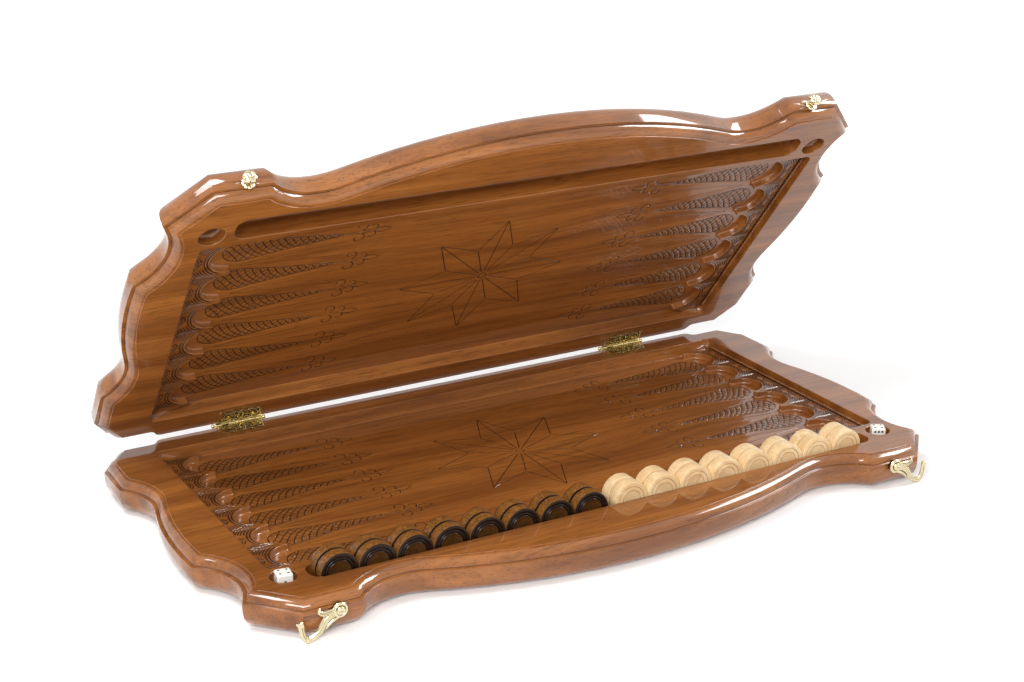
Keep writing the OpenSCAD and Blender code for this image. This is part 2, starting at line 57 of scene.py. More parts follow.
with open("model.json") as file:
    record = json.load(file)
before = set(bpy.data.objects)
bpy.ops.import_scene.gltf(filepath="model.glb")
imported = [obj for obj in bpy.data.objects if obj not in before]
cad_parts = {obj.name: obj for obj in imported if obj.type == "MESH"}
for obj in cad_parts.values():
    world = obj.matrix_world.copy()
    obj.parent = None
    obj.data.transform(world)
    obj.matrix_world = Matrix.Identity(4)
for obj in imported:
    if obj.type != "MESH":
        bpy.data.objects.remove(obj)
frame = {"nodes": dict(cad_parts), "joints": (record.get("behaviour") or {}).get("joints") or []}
CAD_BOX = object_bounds()

# Plans are drawn in millimetres and meshes are made in metres
MM = 0.001
WELD = 1e-6
LEVEL_TOL = 2e-5
PLAN_EPS = 1e-4
SHARP = math.radians(34)
# Least upward normal of a level face, and how far a sharp corner may pull a shifted loop
LEVEL_NORMAL = 0.99
MITRE_LIMIT = 0.4


def joint(name):
    """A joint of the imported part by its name."""
    return next(j for j in frame["joints"] if j["name"] == name)


# Places read from the frame: the hinge line, the lid's rest angle, and the flats that carry the catches
RIM_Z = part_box("base_board")[1].z
HINGE = Vector(joint("lid_hinge")["pos_m"])
LID_OPEN = math.radians(-joint("lid_hinge")["range_deg"][0])
LID_PLACE = (
    Matrix.Translation(HINGE)
    @ Matrix.Rotation(-LID_OPEN, 4, "X")
    @ Matrix.Scale(-1, 4, (0, 0, 1))
    @ Matrix.Translation(-HINGE)
)
BASE_PLACE = Matrix.Identity(4)
HALVES = {"base": BASE_PLACE, "lid": LID_PLACE}
HOOK_PIVOT = Vector(joint("hook_right_pivot")["pos_m"])
FLAT_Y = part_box("hook_washer_right")[1].y
SIDES = {"left": -1, "right": 1}
CHECKERS = [f"{tone}_checker_{i}" for tone in ("dark", "light") for i in range(1, 17)]
CHECKER_SEED = 7

# What every colour that a user can set has in common
COLOUR = {"subtype": "COLOR", "size": 4, "min": 0, "max": 1}


class WoodFinish(bpy.types.PropertyGroup):
    """Colours of the board's lacquered wood."""

    pale: FloatVectorProperty(
        name="Pale grain", description="Lightest bands of the wood",
        default=(0.365, 0.128, 0.0245, 1), **COLOUR)
    deep: FloatVectorProperty(
        name="Deep grain", description="Darkest bands of the wood",
        default=(0.180, 0.0555, 0.0095, 1), **COLOUR)
    vein: FloatVectorProperty(
        name="Veins", description="Thin dark lines and pores",
        default=(0.062, 0.019, 0.0045, 1), **COLOUR)
    # Dark colour of the carving: partly settled stain, partly painted shade in the grooves; it also paints
    # the shade in the quirks of the edge, under the ropes and on the floors of the racks and holes
    stain_and_shade: FloatVectorProperty(
        name="Carving", description="Colour that has settled in the carved lines",
        default=(0.016, 0.007, 0.003, 1), **COLOUR)
    lacquer: FloatProperty(
        name="Lacquer", description="Weight of the clear coat", subtype="FACTOR", min=0, max=1, default=1)


class CarvingSizes(bpy.types.PropertyGroup):
    """Sizes of the carving in the field and on its end strips."""

    strip_depth: FloatProperty(
        name="Strip depth", description="End strips below the rim", unit="LENGTH", default=6.2 * MM)
    field_depth: FloatProperty(
        name="Field depth", description="Field below the rim", unit="LENGTH", default=11.4 * MM)
    rack_depth: FloatProperty(
        name="Rack depth", description="Rack below the rim", unit="LENGTH", default=15 * MM)
    hole_depth: FloatProperty(
        name="Die hole depth", description="Die holes below the rim", unit="LENGTH", default=8 * MM)
    points: IntProperty(name="Points", description="Carved points at each end", min=1, max=12, default=6)
    pitch: FloatProperty(
        name="Pitch", description="Distance between neighbouring points", unit="LENGTH", default=35.5 * MM)
    head: FloatProperty(
        name="Head", description="Point's head from the middle of the board", unit="LENGTH",
        default=232.6 * MM)
    line: FloatProperty(
        name="Line width", description="Width of a carved line", unit="LENGTH", default=1.4 * MM)
    cut: FloatProperty(
        name="Line depth", description="Depth of a carved line", unit="LENGTH", default=0.75 * MM)
    star: FloatProperty(
        name="Star", description="Middle of the star to its tips", unit="LENGTH", default=72.6 * MM)
    star_notch: FloatProperty(
        name="Star notch", description="Middle of the star to its inner corners", unit="LENGTH",
        default=40 * MM)
    cup: FloatProperty(
        name="Cup radius", description="Radius of the hollow behind a point", unit="LENGTH",
        default=15.75 * MM)
    arris: FloatProperty(
        name="Arris", description="Rounding of the edges of the hollows", unit="LENGTH", default=0.7 * MM)
    rim_arris: FloatProperty(
        name="Rim arris", description="Rounding of the rim's outer edge", unit="LENGTH", default=0.35 * MM)
    foot: FloatProperty(
        name="Wall foot", description="Hollow at the foot of the field's walls", unit="LENGTH",
        default=0.6 * MM)
    cup_foot: FloatProperty(
        name="Cup foot", description="Hollow at the foot of the cups", unit="LENGTH", default=1.8 * MM)


class MetalFinish(bpy.types.PropertyGroup):
    """Colours of the brass."""

    bright: FloatVectorProperty(
        name="Polished", description="Hooks and knobs",
        default=(0.68, 0.60, 0.40, 1), **COLOUR)
    aged: FloatVectorProperty(
        name="Aged", description="Raised parts of the hinges",
        default=(0.80, 0.65, 0.31, 1), **COLOUR)
    # Dark colour of the hollows: patina on the hinges; on the hooks and knobs it also paints the shade in
    # the creases
    patina_and_shade: FloatVectorProperty(
        name="Patina", description="Hollows of the hinges",
        default=(0.13, 0.090, 0.032, 1), **COLOUR)
    black: FloatVectorProperty(
        name="Blackened", description="Washers behind the hooks",
        default=(0.020, 0.019, 0.020, 1), **COLOUR)


class PieceFinish(bpy.types.PropertyGroup):
    """Colours of the checkers and dice."""

    cream: FloatVectorProperty(
        name="Light checker", description="Pale turned wood",
        default=(0.86, 0.665, 0.40, 1), **COLOUR)
    cream_deep: FloatVectorProperty(
        name="Light checker grain", description="Grain of the pale wood",
        default=(0.70, 0.47, 0.23, 1), **COLOUR)
    cream_line: FloatVectorProperty(
        name="Light checker lines", description="Turned lines in the light faces",
        default=(0.36, 0.19, 0.07, 1), **COLOUR)
    burl: FloatVectorProperty(
        name="Dark checker", description="Mottled side of a dark checker",
        default=(0.31, 0.125, 0.026, 1), **COLOUR)
    burl_deep: FloatVectorProperty(
        name="Dark checker figure", description="Dark strokes in the mottled side",
        default=(0.035, 0.013, 0.004, 1), **COLOUR)
    burnt: FloatVectorProperty(
        name="Dark checker rings", description="Burnt rings and edges",
        default=(0.012, 0.005, 0.0022, 1), **COLOUR)
    ivory: FloatVectorProperty(
        name="Dice", description="Dice plastic",
        default=(0.86, 0.85, 0.79, 1), **COLOUR)
    ivory_deep: FloatVectorProperty(
        name="Dice clouds", description="Warmer patches of the dice",
        default=(0.78, 0.74, 0.62, 1), **COLOUR)
    pip: FloatVectorProperty(
        name="Pips", description="Dice pips",
        default=(0.012, 0.012, 0.014, 1), **COLOUR)


class StudioSettings(bpy.types.PropertyGroup):
    """Camera and light of the studio."""

    eye: FloatVectorProperty(
        name="Camera", description="Place of the camera", subtype="XYZ", size=3, unit="LENGTH",
        default=(-0.6409, -1.1199, 0.5808))
    yaw: FloatProperty(
        name="Yaw", description="Turn of the view to the right of +Y", subtype="ANGLE",
        default=math.radians(28.963))
    pitch: FloatProperty(
        name="Pitch", description="Fall of the view", subtype="ANGLE", default=math.radians(19.840))
    roll: FloatProperty(name="Roll", description="Roll of the view", subtype="ANGLE",
                        default=math.radians(-0.349))
    lens: FloatProperty(name="Lens", description="Focal length in millimetres", default=63.84)
    key: FloatProperty(name="Key light", description="Power of the soft light at the front", default=32.0)
    side: FloatProperty(name="Side light", description="Power of the soft light on the right", default=10.0)
    top: FloatProperty(name="Top light", description="Power of the soft light overhead", default=10.0)
    card: FloatProperty(
        name="Cards", description="Power of the two cards that only show in the gloss", default=24.0)
    ambient: FloatProperty(name="Ambient", description="Strength of the light from all round", default=0.42)


# Node helpers


def put(tree, kind, inputs=None, **settings):
    """Adds a node, with its settings, and its inputs given as values or as sockets to link."""
    node = tree.nodes.new(kind)
    for key, value in settings.items():
        setattr(node, key, value)
    for key, value in (inputs or {}).items():
        if isinstance(value, bpy.types.NodeSocket):
            tree.links.new(value, node.inputs[key])
        else:
            node.inputs[key].default_value = value
    return node


def maths(tree, operation, a, b=0.0, c=0.0):
    """The result of one sum on one, two or three values."""
    return put(tree, "ShaderNodeMath", {0: a, 1: b, 2: c}, operation=operation).outputs[0]


def blend(tree, factor, a, b):
    """Colour a, mixed with colour b by a factor."""
    return put(tree, "ShaderNodeMix", {0: factor, 6: a, 7: b}, data_type="RGBA").outputs[2]


def span(tree, value, low, high):
    """0 where a value is at its low end and 1 at its high end."""
    return put(tree, "ShaderNodeMapRange", {0: value, 1: low, 2: high}, clamp=True).outputs[0]


def noise(tree, vector, scale, detail=3.0, rough=0.55):
    """Noise on a vector, from 0 to 1."""
    node = put(tree, "ShaderNodeTexNoise",
               {"Vector": vector, "Scale": scale, "Detail": detail, "Roughness": rough})
    return node.outputs[0]


def stretched(tree, vector, factors):
    """A vector with its axes scaled."""
    return put(tree, "ShaderNodeVectorMath", {0: vector, 1: factors}, operation="MULTIPLY").outputs[0]


def shader_group(name, inputs, outputs):
    """An empty shader node group with named sockets, and its input and output nodes."""
    tree = bpy.data.node_groups.new(name, "ShaderNodeTree")
    for label, kind in inputs:
        tree.interface.new_socket(label, in_out="INPUT", socket_type=kind)
    for label, kind in outputs:
        tree.interface.new_socket(label, in_out="OUTPUT", socket_type=kind)
    return tree, tree.nodes.new("NodeGroupInput"), tree.nodes.new("NodeGroupOutput")


def grain_group():
    """Straight wood grain along the first axis: broad bands, growth lines, fibres and pores."""
    found = bpy.data.node_groups.get("Straight grain")
    if found:
        return found
    tree, given, out = shader_group(
        "Straight grain",
        [("Place", "NodeSocketVector"), ("Pale", "NodeSocketColor"), ("Deep", "NodeSocketColor"),
         ("Vein", "NodeSocketColor"), ("Band scale", "NodeSocketFloat"),
         ("Fibre scale", "NodeSocketFloat")],
        [("Color", "NodeSocketColor"), ("Height", "NodeSocketFloat")])
    place = given.outputs["Place"]
    broad = stretched(tree, place, (3.0, 9.0, 9.0))
    drift = put(tree, "ShaderNodeTexNoise", {"Vector": broad, "Scale": 1.0, "Detail": 2.0}).outputs[1]
    bent = put(tree, "ShaderNodeVectorMath", {0: drift, 1: (0.0, 0.045, 0.02), 2: place},
               operation="MULTIPLY_ADD").outputs[0]
    long = stretched(tree, bent, (0.05, 1.0, 1.0))
    bands = span(tree, noise(tree, long, given.outputs["Band scale"], 3.0, 0.6), 0.33, 0.68)
    colour = blend(tree, bands, given.outputs["Deep"], given.outputs["Pale"])
    growth_scale = maths(tree, "MULTIPLY", given.outputs["Band scale"], 5.0)
    growth = span(tree, noise(tree, long, growth_scale, 2.0, 0.7), 0.55, 0.72)
    colour = blend(tree, maths(tree, "MULTIPLY", growth, 0.42), colour, given.outputs["Vein"])
    fine = stretched(tree, place, (0.018, 1.0, 1.0))
    fibre = noise(tree, fine, given.outputs["Fibre scale"], 2.0, 0.6)
    light = span(tree, fibre, 0.3, 0.7)
    tone = maths(tree, "MULTIPLY_ADD", light, 0.22, 0.89)
    toned = put(tree, "ShaderNodeVectorMath", {0: colour, "Scale": tone}, operation="SCALE").outputs[0]
    short = stretched(tree, place, (0.06, 1.0, 1.0))
    pore_scale = maths(tree, "MULTIPLY", given.outputs["Fibre scale"], 1.3)
    pores = span(tree, noise(tree, short, pore_scale, 1.0, 0.5), 0.62, 0.70)
    speckled = blend(tree, maths(tree, "MULTIPLY", pores, 0.55), toned, given.outputs["Vein"])
    tree.links.new(speckled, out.inputs["Color"])
    tree.links.new(maths(tree, "SUBTRACT", light, pores), out.inputs["Height"])
    return tree


def tarnish_group():
    """Uneven gloss and slight darkening of a metal, on a vector in metres."""
    found = bpy.data.node_groups.get("Tarnish")
    if found:
        return found
    tree, given, out = shader_group(
        "Tarnish",
        [("Place", "NodeSocketVector"), ("Metal", "NodeSocketColor"), ("Dull", "NodeSocketColor"),
         ("Amount", "NodeSocketFloat"), ("Gloss", "NodeSocketFloat")],
        [("Color", "NodeSocketColor"), ("Roughness", "NodeSocketFloat")])
    place = given.outputs["Place"]
    spots = span(tree, noise(tree, place, 420.0, 4.0, 0.65), 0.42, 0.75)
    colour = blend(tree, maths(tree, "MULTIPLY", spots, given.outputs["Amount"]),
                   given.outputs["Metal"], given.outputs["Dull"])
    haze = maths(tree, "MULTIPLY", noise(tree, place, 900.0, 2.0), 0.16)
    tree.links.new(colour, out.inputs["Color"])
    tree.links.new(maths(tree, "ADD", given.outputs["Gloss"], haze), out.inputs["Roughness"])
    return tree


def new_material(name, **values):
    """A material with one Principled shader, its plain values set on its own sockets."""
    found = bpy.data.materials.get(name)
    if found:
        return found, None, None
    made = bpy.data.materials.new(name)
    made.use_nodes = True
    tree = made.node_tree
    tree.nodes.clear()
    shader = put(tree, "ShaderNodeBsdfPrincipled", values)
    put(tree, "ShaderNodeOutputMaterial", {"Surface": shader.outputs[0]})
    return made, tree, shader


def attribute(tree, name, vector=False):
    """A named attribute of the mesh, as a vector or as a value."""
    node = put(tree, "ShaderNodeAttribute", attribute_name=name)
    return node.outputs["Vector" if vector else "Fac"]


def bumped(tree, shader, height, strength):
    """Feeds a height to the shader's normal."""
    bump = put(tree, "ShaderNodeBump", {"Height": height, "Strength": strength, "Distance": 0.2 * MM})
    tree.links.new(bump.outputs[0], shader.inputs["Normal"])


# Materials


def lacquered_walnut():
    """The board's wood: grain along its length, settled stain and painted shade in the carving, painted
    shade in the quirks and hollows, a clear coat.
    """
    look = bpy.context.scene.board_wood
    made, tree, shader = new_material(
        "lacquered_walnut",
        **{"Coat Weight": look.lacquer, "Coat Roughness": 0.06, "Coat IOR": 1.5, "IOR": 1.45,
           "Specular IOR Level": 0.12})
    if not tree:
        return made
    place = attribute(tree, "place", vector=True)
    grain = put(
        tree, "ShaderNodeGroup",
        {"Place": place, "Pale": look.pale, "Deep": look.deep, "Vein": look.vein, "Band scale": 62.0,
         "Fibre scale": 900.0}, node_tree=grain_group())
    # Darkening of the carving: settled stain and painted shade in the grooves, painted shade in the quirks,
    # under the ropes and on the rack and hole floors
    stain_and_shade_mask = span(tree, attribute(tree, "carved"), 0.02, 0.45)
    colour = blend(tree, maths(tree, "MULTIPLY", stain_and_shade_mask, 0.94), grain.outputs["Color"], look.stain_and_shade)
    tree.links.new(colour, shader.inputs["Base Color"])
    gloss = maths(tree, "MULTIPLY_ADD", noise(tree, place, 30.0, 2.0), 0.16, 0.42)
    tree.links.new(gloss, shader.inputs["Roughness"])
    bumped(tree, shader, grain.outputs["Height"], 0.10)
    return made


# Marks between which a metal's own colour gives way to the colour of its hollows
HOLLOW_SPAN = (0.08, 0.75)
RELIEF_SPAN = (0.0, 0.6)


def metal(name, colour, dull, hollow, amount, gloss, reach=HOLLOW_SPAN, raised=False):
    """A tarnished metal on object coordinates, with another colour in the hollows: patina, and on the hooks
    and knobs also painted shade in the creases.

    The mesh marks its hollows, or where raised is true its raised lines.
    """
    made, tree, shader = new_material(name, Metallic=1.0)
    if not tree:
        return made
    wear = put(
        tree, "ShaderNodeGroup",
        {"Place": put(tree, "ShaderNodeTexCoord").outputs["Object"], "Metal": colour, "Dull": dull,
         "Amount": amount, "Gloss": gloss}, node_tree=tarnish_group())
    tones = (hollow, wear.outputs["Color"]) if raised else (wear.outputs["Color"], hollow)
    marked = span(tree, attribute(tree, "carved"), *reach)
    tree.links.new(blend(tree, marked, *tones), shader.inputs["Base Color"])
    tree.links.new(wear.outputs["Roughness"], shader.inputs["Roughness"])
    return made


def bright_brass():
    """Pale bright brass of the hooks and knobs, with patina and painted shade in the creases."""
    look = bpy.context.scene.board_metal
    return metal("bright_brass", look.bright, look.aged, look.patina_and_shade, 0.4, 0.1)


def worn_brass():
    """Worn brass of the hinge pins and screws."""
    look = bpy.context.scene.board_metal
    return metal("worn_brass", look.aged, look.patina_and_shade, look.patina_and_shade, 0.35, 0.16)


def black_washer():
    """Blackened washers behind the hooks."""
    look = bpy.context.scene.board_metal
    return metal("black_washer", look.black, look.patina_and_shade, look.black, 0.15, 0.35)


def relief_brass():
    """Hinge leaves: bright on the raised lines, dark patina in the hollows."""
    look = bpy.context.scene.board_metal
    return metal("relief_brass", look.aged, look.patina_and_shade, look.patina_and_shade, 0.3, 0.18, RELIEF_SPAN, True)


def turned_parts(tree):
    """The turned attribute of a checker as its distance from the axis and its height."""
    local = attribute(tree, "turned", vector=True)
    flat = stretched(tree, local, (1.0, 1.0, 0.0))
    out = put(tree, "ShaderNodeVectorMath", {0: flat}, operation="LENGTH").outputs["Value"]
    height = put(tree, "ShaderNodeSeparateXYZ", {0: local}).outputs["Z"]
    return out, height


def opposite(tree, value):
    """One less a value."""
    return maths(tree, "SUBTRACT", 1.0, value)


def edge_band(tree, height, thick, width):
    """1 near either face of a disc of some thickness, 0 in between."""
    middle = maths(tree, "ABSOLUTE", maths(tree, "SUBTRACT", height, thick / 2))
    return span(tree, middle, thick / 2 - width, thick / 2 - width + 0.3 * MM)


def ring_line(tree, out, radius, width):
    """1 on a thin ring at a distance from the axis, 0 beside it."""
    off = maths(tree, "ABSOLUTE", maths(tree, "SUBTRACT", out, radius))
    return opposite(tree, span(tree, off, width / 2, width / 2 + 0.2 * MM))


# Turned lines of a light face; where a dark checker's bowl ends and its wall begins; its burnt edge
LINE_RADII = (10.37, 7.32)
LINE_W = 0.25
BOWL_EDGE = (7.9 * MM, 8.3 * MM)
WALL_EDGE = (13.2 * MM, 13.6 * MM)
BURNT_BAND = 1.2 * MM
BOWL_BURN = 0.68


def cream_wood():
    """Light checkers: pale turned wood with fine brown lines round the faces."""
    look = bpy.context.scene.board_pieces
    made, tree, shader = new_material(
        "cream_wood", **{"Coat Weight": 0.3, "Coat Roughness": 0.18, "Coat IOR": 1.4,
                         "Specular IOR Level": 0.25, "Roughness": 0.45})
    if not tree:
        return made
    out, _ = turned_parts(tree)
    grain = put(
        tree, "ShaderNodeGroup",
        {"Place": attribute(tree, "figure", vector=True), "Pale": look.cream, "Deep": look.cream_deep,
         "Vein": look.cream_deep, "Band scale": 150.0, "Fibre scale": 1500.0}, node_tree=grain_group())
    rings = put(tree, "ShaderNodeCombineXYZ", {0: out}).outputs[0]
    fine = span(tree, noise(tree, rings, 2600.0, 1.0), 0.45, 0.7)
    turned = blend(tree, maths(tree, "MULTIPLY", fine, 0.2), grain.outputs["Color"], look.cream_deep)
    lines = maths(tree, "MAXIMUM", *[ring_line(tree, out, r * MM, LINE_W * MM) for r in LINE_RADII])
    colour = blend(tree, maths(tree, "MULTIPLY", lines, 0.75), turned, look.cream_line)
    tree.links.new(colour, shader.inputs["Base Color"])
    bumped(tree, shader, fine, 0.12)
    return made


def burl_wood():
    """Dark checkers: mottled gold-brown sides, burnt edges and rings, a brown bowl."""
    look = bpy.context.scene.board_pieces
    made, tree, shader = new_material(
        "burl_wood", **{"Coat Weight": 0.5, "Coat Roughness": 0.08, "Coat IOR": 1.4,
                        "Specular IOR Level": 0.06, "Roughness": 0.42})
    if not tree:
        return made
    out, height = turned_parts(tree)
    figure = attribute(tree, "figure", vector=True)
    strokes = noise(tree, stretched(tree, figure, (1.0, 1.0, 0.25)), 2100.0, 3.0, 0.65)
    clouds = noise(tree, figure, 260.0, 3.0, 0.6)
    mottle = maths(tree, "MULTIPLY_ADD", strokes, 0.75, maths(tree, "MULTIPLY", clouds, 0.25))
    gold = blend(tree, span(tree, mottle, 0.36, 0.62), look.burl_deep, look.burl)
    bowl = opposite(tree, span(tree, out, *BOWL_EDGE))
    wall = maths(tree, "MULTIPLY", span(tree, out, *WALL_EDGE),
                 opposite(tree, edge_band(tree, height, CHECKER_T * MM, BURNT_BAND)))
    wood = blend(tree, bowl, gold, blend(tree, BOWL_BURN, gold, look.burnt))
    colour = blend(tree, maths(tree, "MAXIMUM", bowl, wall), look.burnt, wood)
    tree.links.new(colour, shader.inputs["Base Color"])
    bumped(tree, shader, mottle, 0.08)
    return made


def dice_ivory():
    """Dice: ivory plastic with dark paint in the pips."""
    look = bpy.context.scene.board_pieces
    made, tree, shader = new_material("dice_ivory", Roughness=0.26, IOR=1.5)
    if not tree:
        return made
    place = put(tree, "ShaderNodeTexCoord").outputs["Object"]
    cloud = span(tree, noise(tree, place, 160.0, 3.0), 0.2, 0.8)
    warm = blend(tree, maths(tree, "MULTIPLY", cloud, 0.3), look.ivory, look.ivory_deep)
    painted = span(tree, attribute(tree, "carved"), 0.06, 0.14)
    tree.links.new(blend(tree, painted, warm, look.pip), shader.inputs["Base Color"])
    return made


# Plan features: each gives lines for the triangulation and a depth below the level, in millimetres


class Groove:
    """A V groove, or with a negative depth a raised bead, along a line in the plan.

    The groove narrows over the fade at its ends. Its darkening is partly settled stain and partly painted
    shade; lean is the share of it that is left where the line runs along the grain (X), since the painted
    shade is lighter in such grooves.
    """

    def __init__(self, line, width, depth, fade=0.0, lean=1.0):
        line = np.array(line, float)
        along = np.concatenate([[0.0], np.cumsum(np.linalg.norm(np.diff(line, axis=0), axis=1))])
        self.half = np.full(len(line), width / 2)
        if fade:
            fade = min(fade, along[-1] / 3)
            stops = np.unique(np.concatenate([along, [fade, along[-1] - fade]]))
            line = np.stack([np.interp(stops, along, column) for column in line.T], 1)
            ends = np.minimum(stops, stops[-1] - stops)
            self.half = width / 2 * np.clip(ends / fade, 0, 1)
        leg = np.diff(line, axis=0)
        across = np.abs(leg[:, 1]) / np.maximum(np.linalg.norm(leg, axis=1), PLAN_EPS)
        self.line = line
        # Painted shade by the line's direction: full on lines across the board, less on lines along it
        self.direction_shade = lean + (1 - lean) * across
        self.full = width / 2
        self.depth = depth

    def rows(self):
        ahead = np.gradient(self.line, axis=0)
        ahead /= np.linalg.norm(ahead, axis=1)[:, None]
        shift = np.stack([-ahead[:, 1], ahead[:, 0]], 1) * self.half[:, None]
        return [self.line + shift, self.line, self.line - shift]

    def near(self, places):
        low = self.line.min(0) - self.full
        high = self.line.max(0) + self.full
        return np.nonzero(((places >= low) & (places <= high)).all(1))[0]

    def share_at(self, places):
        """The cut and the darkening, settled stain and painted shade, at some places, as shares."""
        start, leg = self.line[:-1], np.diff(self.line, axis=0)
        off = places[:, None] - start
        part = np.clip((off * leg).sum(2) / np.maximum((leg * leg).sum(1), PLAN_EPS**2), 0, 1)
        gap = np.linalg.norm(off - part[..., None] * leg, axis=2)
        half = self.half[:-1] + part * np.diff(self.half)
        found = (half - gap) / self.full
        best = found.argmax(1)
        cut = np.clip(found[np.arange(len(places)), best], 0, 1)
        return cut, cut * self.direction_shade[best]


class Dent:
    """A round hollow."""

    RINGS = (1.0, 0.82, 0.55, 0.28)
    SIDES = 20

    def __init__(self, centre, radius, depth):
        self.centre = np.array(centre, float)
        self.radius = radius
        self.depth = depth

    def rows(self):
        turn = np.linspace(0, 2 * math.pi, self.SIDES + 1)
        ring = np.stack([np.cos(turn), np.sin(turn)], 1) * self.radius
        return [self.centre + share * ring for share in self.RINGS] + [self.centre[None, :]]

    def near(self, places):
        return np.nonzero(np.linalg.norm(places - self.centre, axis=1) < self.radius)[0]

    def share_at(self, places):
        out = np.linalg.norm(places - self.centre, axis=1) / self.radius
        cut = np.clip(1 - out**2, 0, 1)
        return cut, cut


class DarkPatch:
    """A darker patch inside an outline, which isn't cut: painted shade under the ropes, and a darker ground
    on the points.
    """

    depth = 0.0
    GROWN = 1.002

    def __init__(self, outline, tone, edged):
        self.outline = np.array(outline, float)
        self.tone = tone
        self.edged = edged

    def rows(self):
        return [np.concatenate([self.outline, self.outline[:1]])] if self.edged else []

    def near(self, places):
        low, high = self.outline.min(0) - PLAN_EPS, self.outline.max(0) + PLAN_EPS
        return np.nonzero(((places >= low) & (places <= high)).all(1))[0]

    def share_at(self, places):
        centre = self.outline.mean(0)
        grown = centre + self.GROWN * (self.outline - centre)
        return np.zeros(len(places)), self.tone * inside(places, [grown])


# Mesh helpers


def level_faces(bm, z):
    """The faces that lie level at a height and face up."""
    return [f for f in bm.faces
            if f.normal.z > LEVEL_NORMAL and all(abs(v.co.z - z) < LEVEL_TOL for v in f.verts)]


def outline_loops(faces):
    """The border of a set of faces as loops of vertices, with the faces on their left."""
    within = set(faces)
    step = {}
    for face in faces:
        for corner in face.loops:
            if not any(other in within for other in corner.edge.link_faces if other is not face):
                step[corner.vert] = corner.link_loop_next.vert
    loops = []
    while step:
        first, vert = step.popitem()
        chain = [first]
        while vert is not first:
            chain.append(vert)
            vert = step.pop(vert)
        loops.append(chain)
    return loops


def mitres(points):
    """How each corner of a closed loop moves for a unit shift of the loop to its left."""
    ahead = np.roll(points, -1, 0) - points
    ahead /= np.linalg.norm(ahead, axis=1)[:, None]
    normal = np.stack([-ahead[:, 1], ahead[:, 0]], 1)
    before = np.roll(normal, 1, 0)
    spread = np.maximum(1 + (normal * before).sum(1), MITRE_LIMIT)
    return (normal + before) / spread[:, None]


def plan_of(chain):
    """The plan of a loop of vertices."""
    return np.array([tuple(v.co.xy) for v in chain])


def new_face(bm, corners):
    """A face on the distinct vertices of a list, if there are at least three."""
    kept = [v for i, v in enumerate(corners) if v is not corners[i - 1]]
    if len(kept) > 2:
        bm.faces.new(kept)


def roll_edge(bm, chain, radii, rise, free=None, steps=4):
    """Rolls the edge along a loop into the level on its left, and returns the loop's new flat edge.

    A rise of -1 rounds an arris off, and a rise of 1 hollows the foot of a wall.
    """
    free = free or [True] * len(chain)
    plan = plan_of(chain)
    shift = mitres(plan)
    level = chain[0].co.z
    rows = [chain]
    for k in range(1, steps + 1):
        turn = k / steps * math.pi / 2
        row = []
        for vert, loose, radius, p, m in zip(chain, free, radii, plan, shift):
            inward = radius * (1 - math.cos(turn))
            height = level + rise * radius * (1 - math.sin(turn))
            spot = (p[0] + inward * m[0], p[1] + inward * m[1], height)
            row.append(bm.verts.new(spot) if loose else vert)
        rows.append(row)
    for vert, loose, radius in zip(chain, free, radii):
        vert.co.z += rise * radius if loose else 0
    for low, high in zip(rows, rows[1:]):
        for i in range(len(chain)):
            j = (i + 1) % len(chain)
            new_face(bm, [low[i], low[j], high[j], high[i]])
    return rows[-1]


def joined_to(first):
    """The faces that hang together with a face, in the order in which they are reached."""
    found, queue = {first: True}, [first]
    while queue:
        for edge in queue.pop().edges:
            for other in edge.link_faces:
                if other not in found:
                    found[other] = True
                    queue.append(other)
    return list(found)


def inside(places, loops):
    """Which places lie inside the loops, by counting crossings."""
    x, y = places[:, 0], places[:, 1]
    odd = np.zeros(len(places), bool)
    for loop in loops:
        for p, q in zip(loop, np.roll(loop, -1, 0)):
            if p[1] != q[1]:
                odd ^= ((p[1] > y) != (q[1] > y)) & (x < (q[0] - p[0]) * (y - p[1]) / (q[1] - p[1]) + p[0])
    return odd


def fill_level(bm, chains, features=(), tone=0.0):
    """Covers the level inside the loops with triangles that follow the features, on a darker ground of the
    given tone.
    """
    level = chains[0][0].co.z
    border = [v for chain in chains for v in chain]
    plan, edges = [], []
    for chain in chains:
        start = len(plan)
        plan.extend(v.co.xy / MM for v in chain)
        edges.extend((i, i + 1) for i in range(start, len(plan) - 1))
        edges.append((len(plan) - 1, start))
    for feature in features:
        for row in feature.rows():
            start = len(plan)
            plan.extend(Vector(p) for p in row)
            edges.extend((i, i + 1) for i in range(start, len(plan) - 1))
    spots, _, faces, sources, _, _ = delaunay_2d_cdt(plan, edges, [], 0, PLAN_EPS)
    places = np.array([tuple(p) for p in spots])
    share, drop = np.full(len(places), tone), np.zeros(len(places))
    for feature in features:
        near = feature.near(places)
        cut, stain_and_shade = feature.share_at(places[near])
        deeper = cut * abs(feature.depth) > np.abs(drop[near])
        drop[near] = np.where(deeper, cut * feature.depth, drop[near])
        share[near] = np.maximum(share[near], stain_and_shade)
    carved = bm.verts.layers.float["carved"]
    verts = []
    for i, place in enumerate(places):
        own = next((s for s in sources[i] if s < len(border)), None)
        if own is None:
            vert = bm.verts.new((place[0] * MM, place[1] * MM, level - drop[i] * MM))
        else:
            vert = border[own]
        vert[carved] = share[i]
        verts.append(vert)
    middles = np.array([places[list(f)].mean(0) for f in faces])
    for keep, face in zip(inside(middles, [plan_of(c) / MM for c in chains]), faces):
        if keep:
            bm.faces.new([verts[i] for i in face])
    bmesh.ops.delete(bm, geom=[v for v in verts if not v.link_faces], context="VERTS")


def plain_mesh(name, bm):
    """Turns a bmesh into a mesh."""
    mesh = bpy.data.meshes.new(name)
    bm.to_mesh(mesh)
    bm.free()
    return mesh


def vectors(source, key):
    """A vector value of every item of a collection, as rows."""
    flat = np.zeros(len(source) * 3, np.float32)
    source.foreach_get(key, flat)
    return flat.reshape(-1, 3)


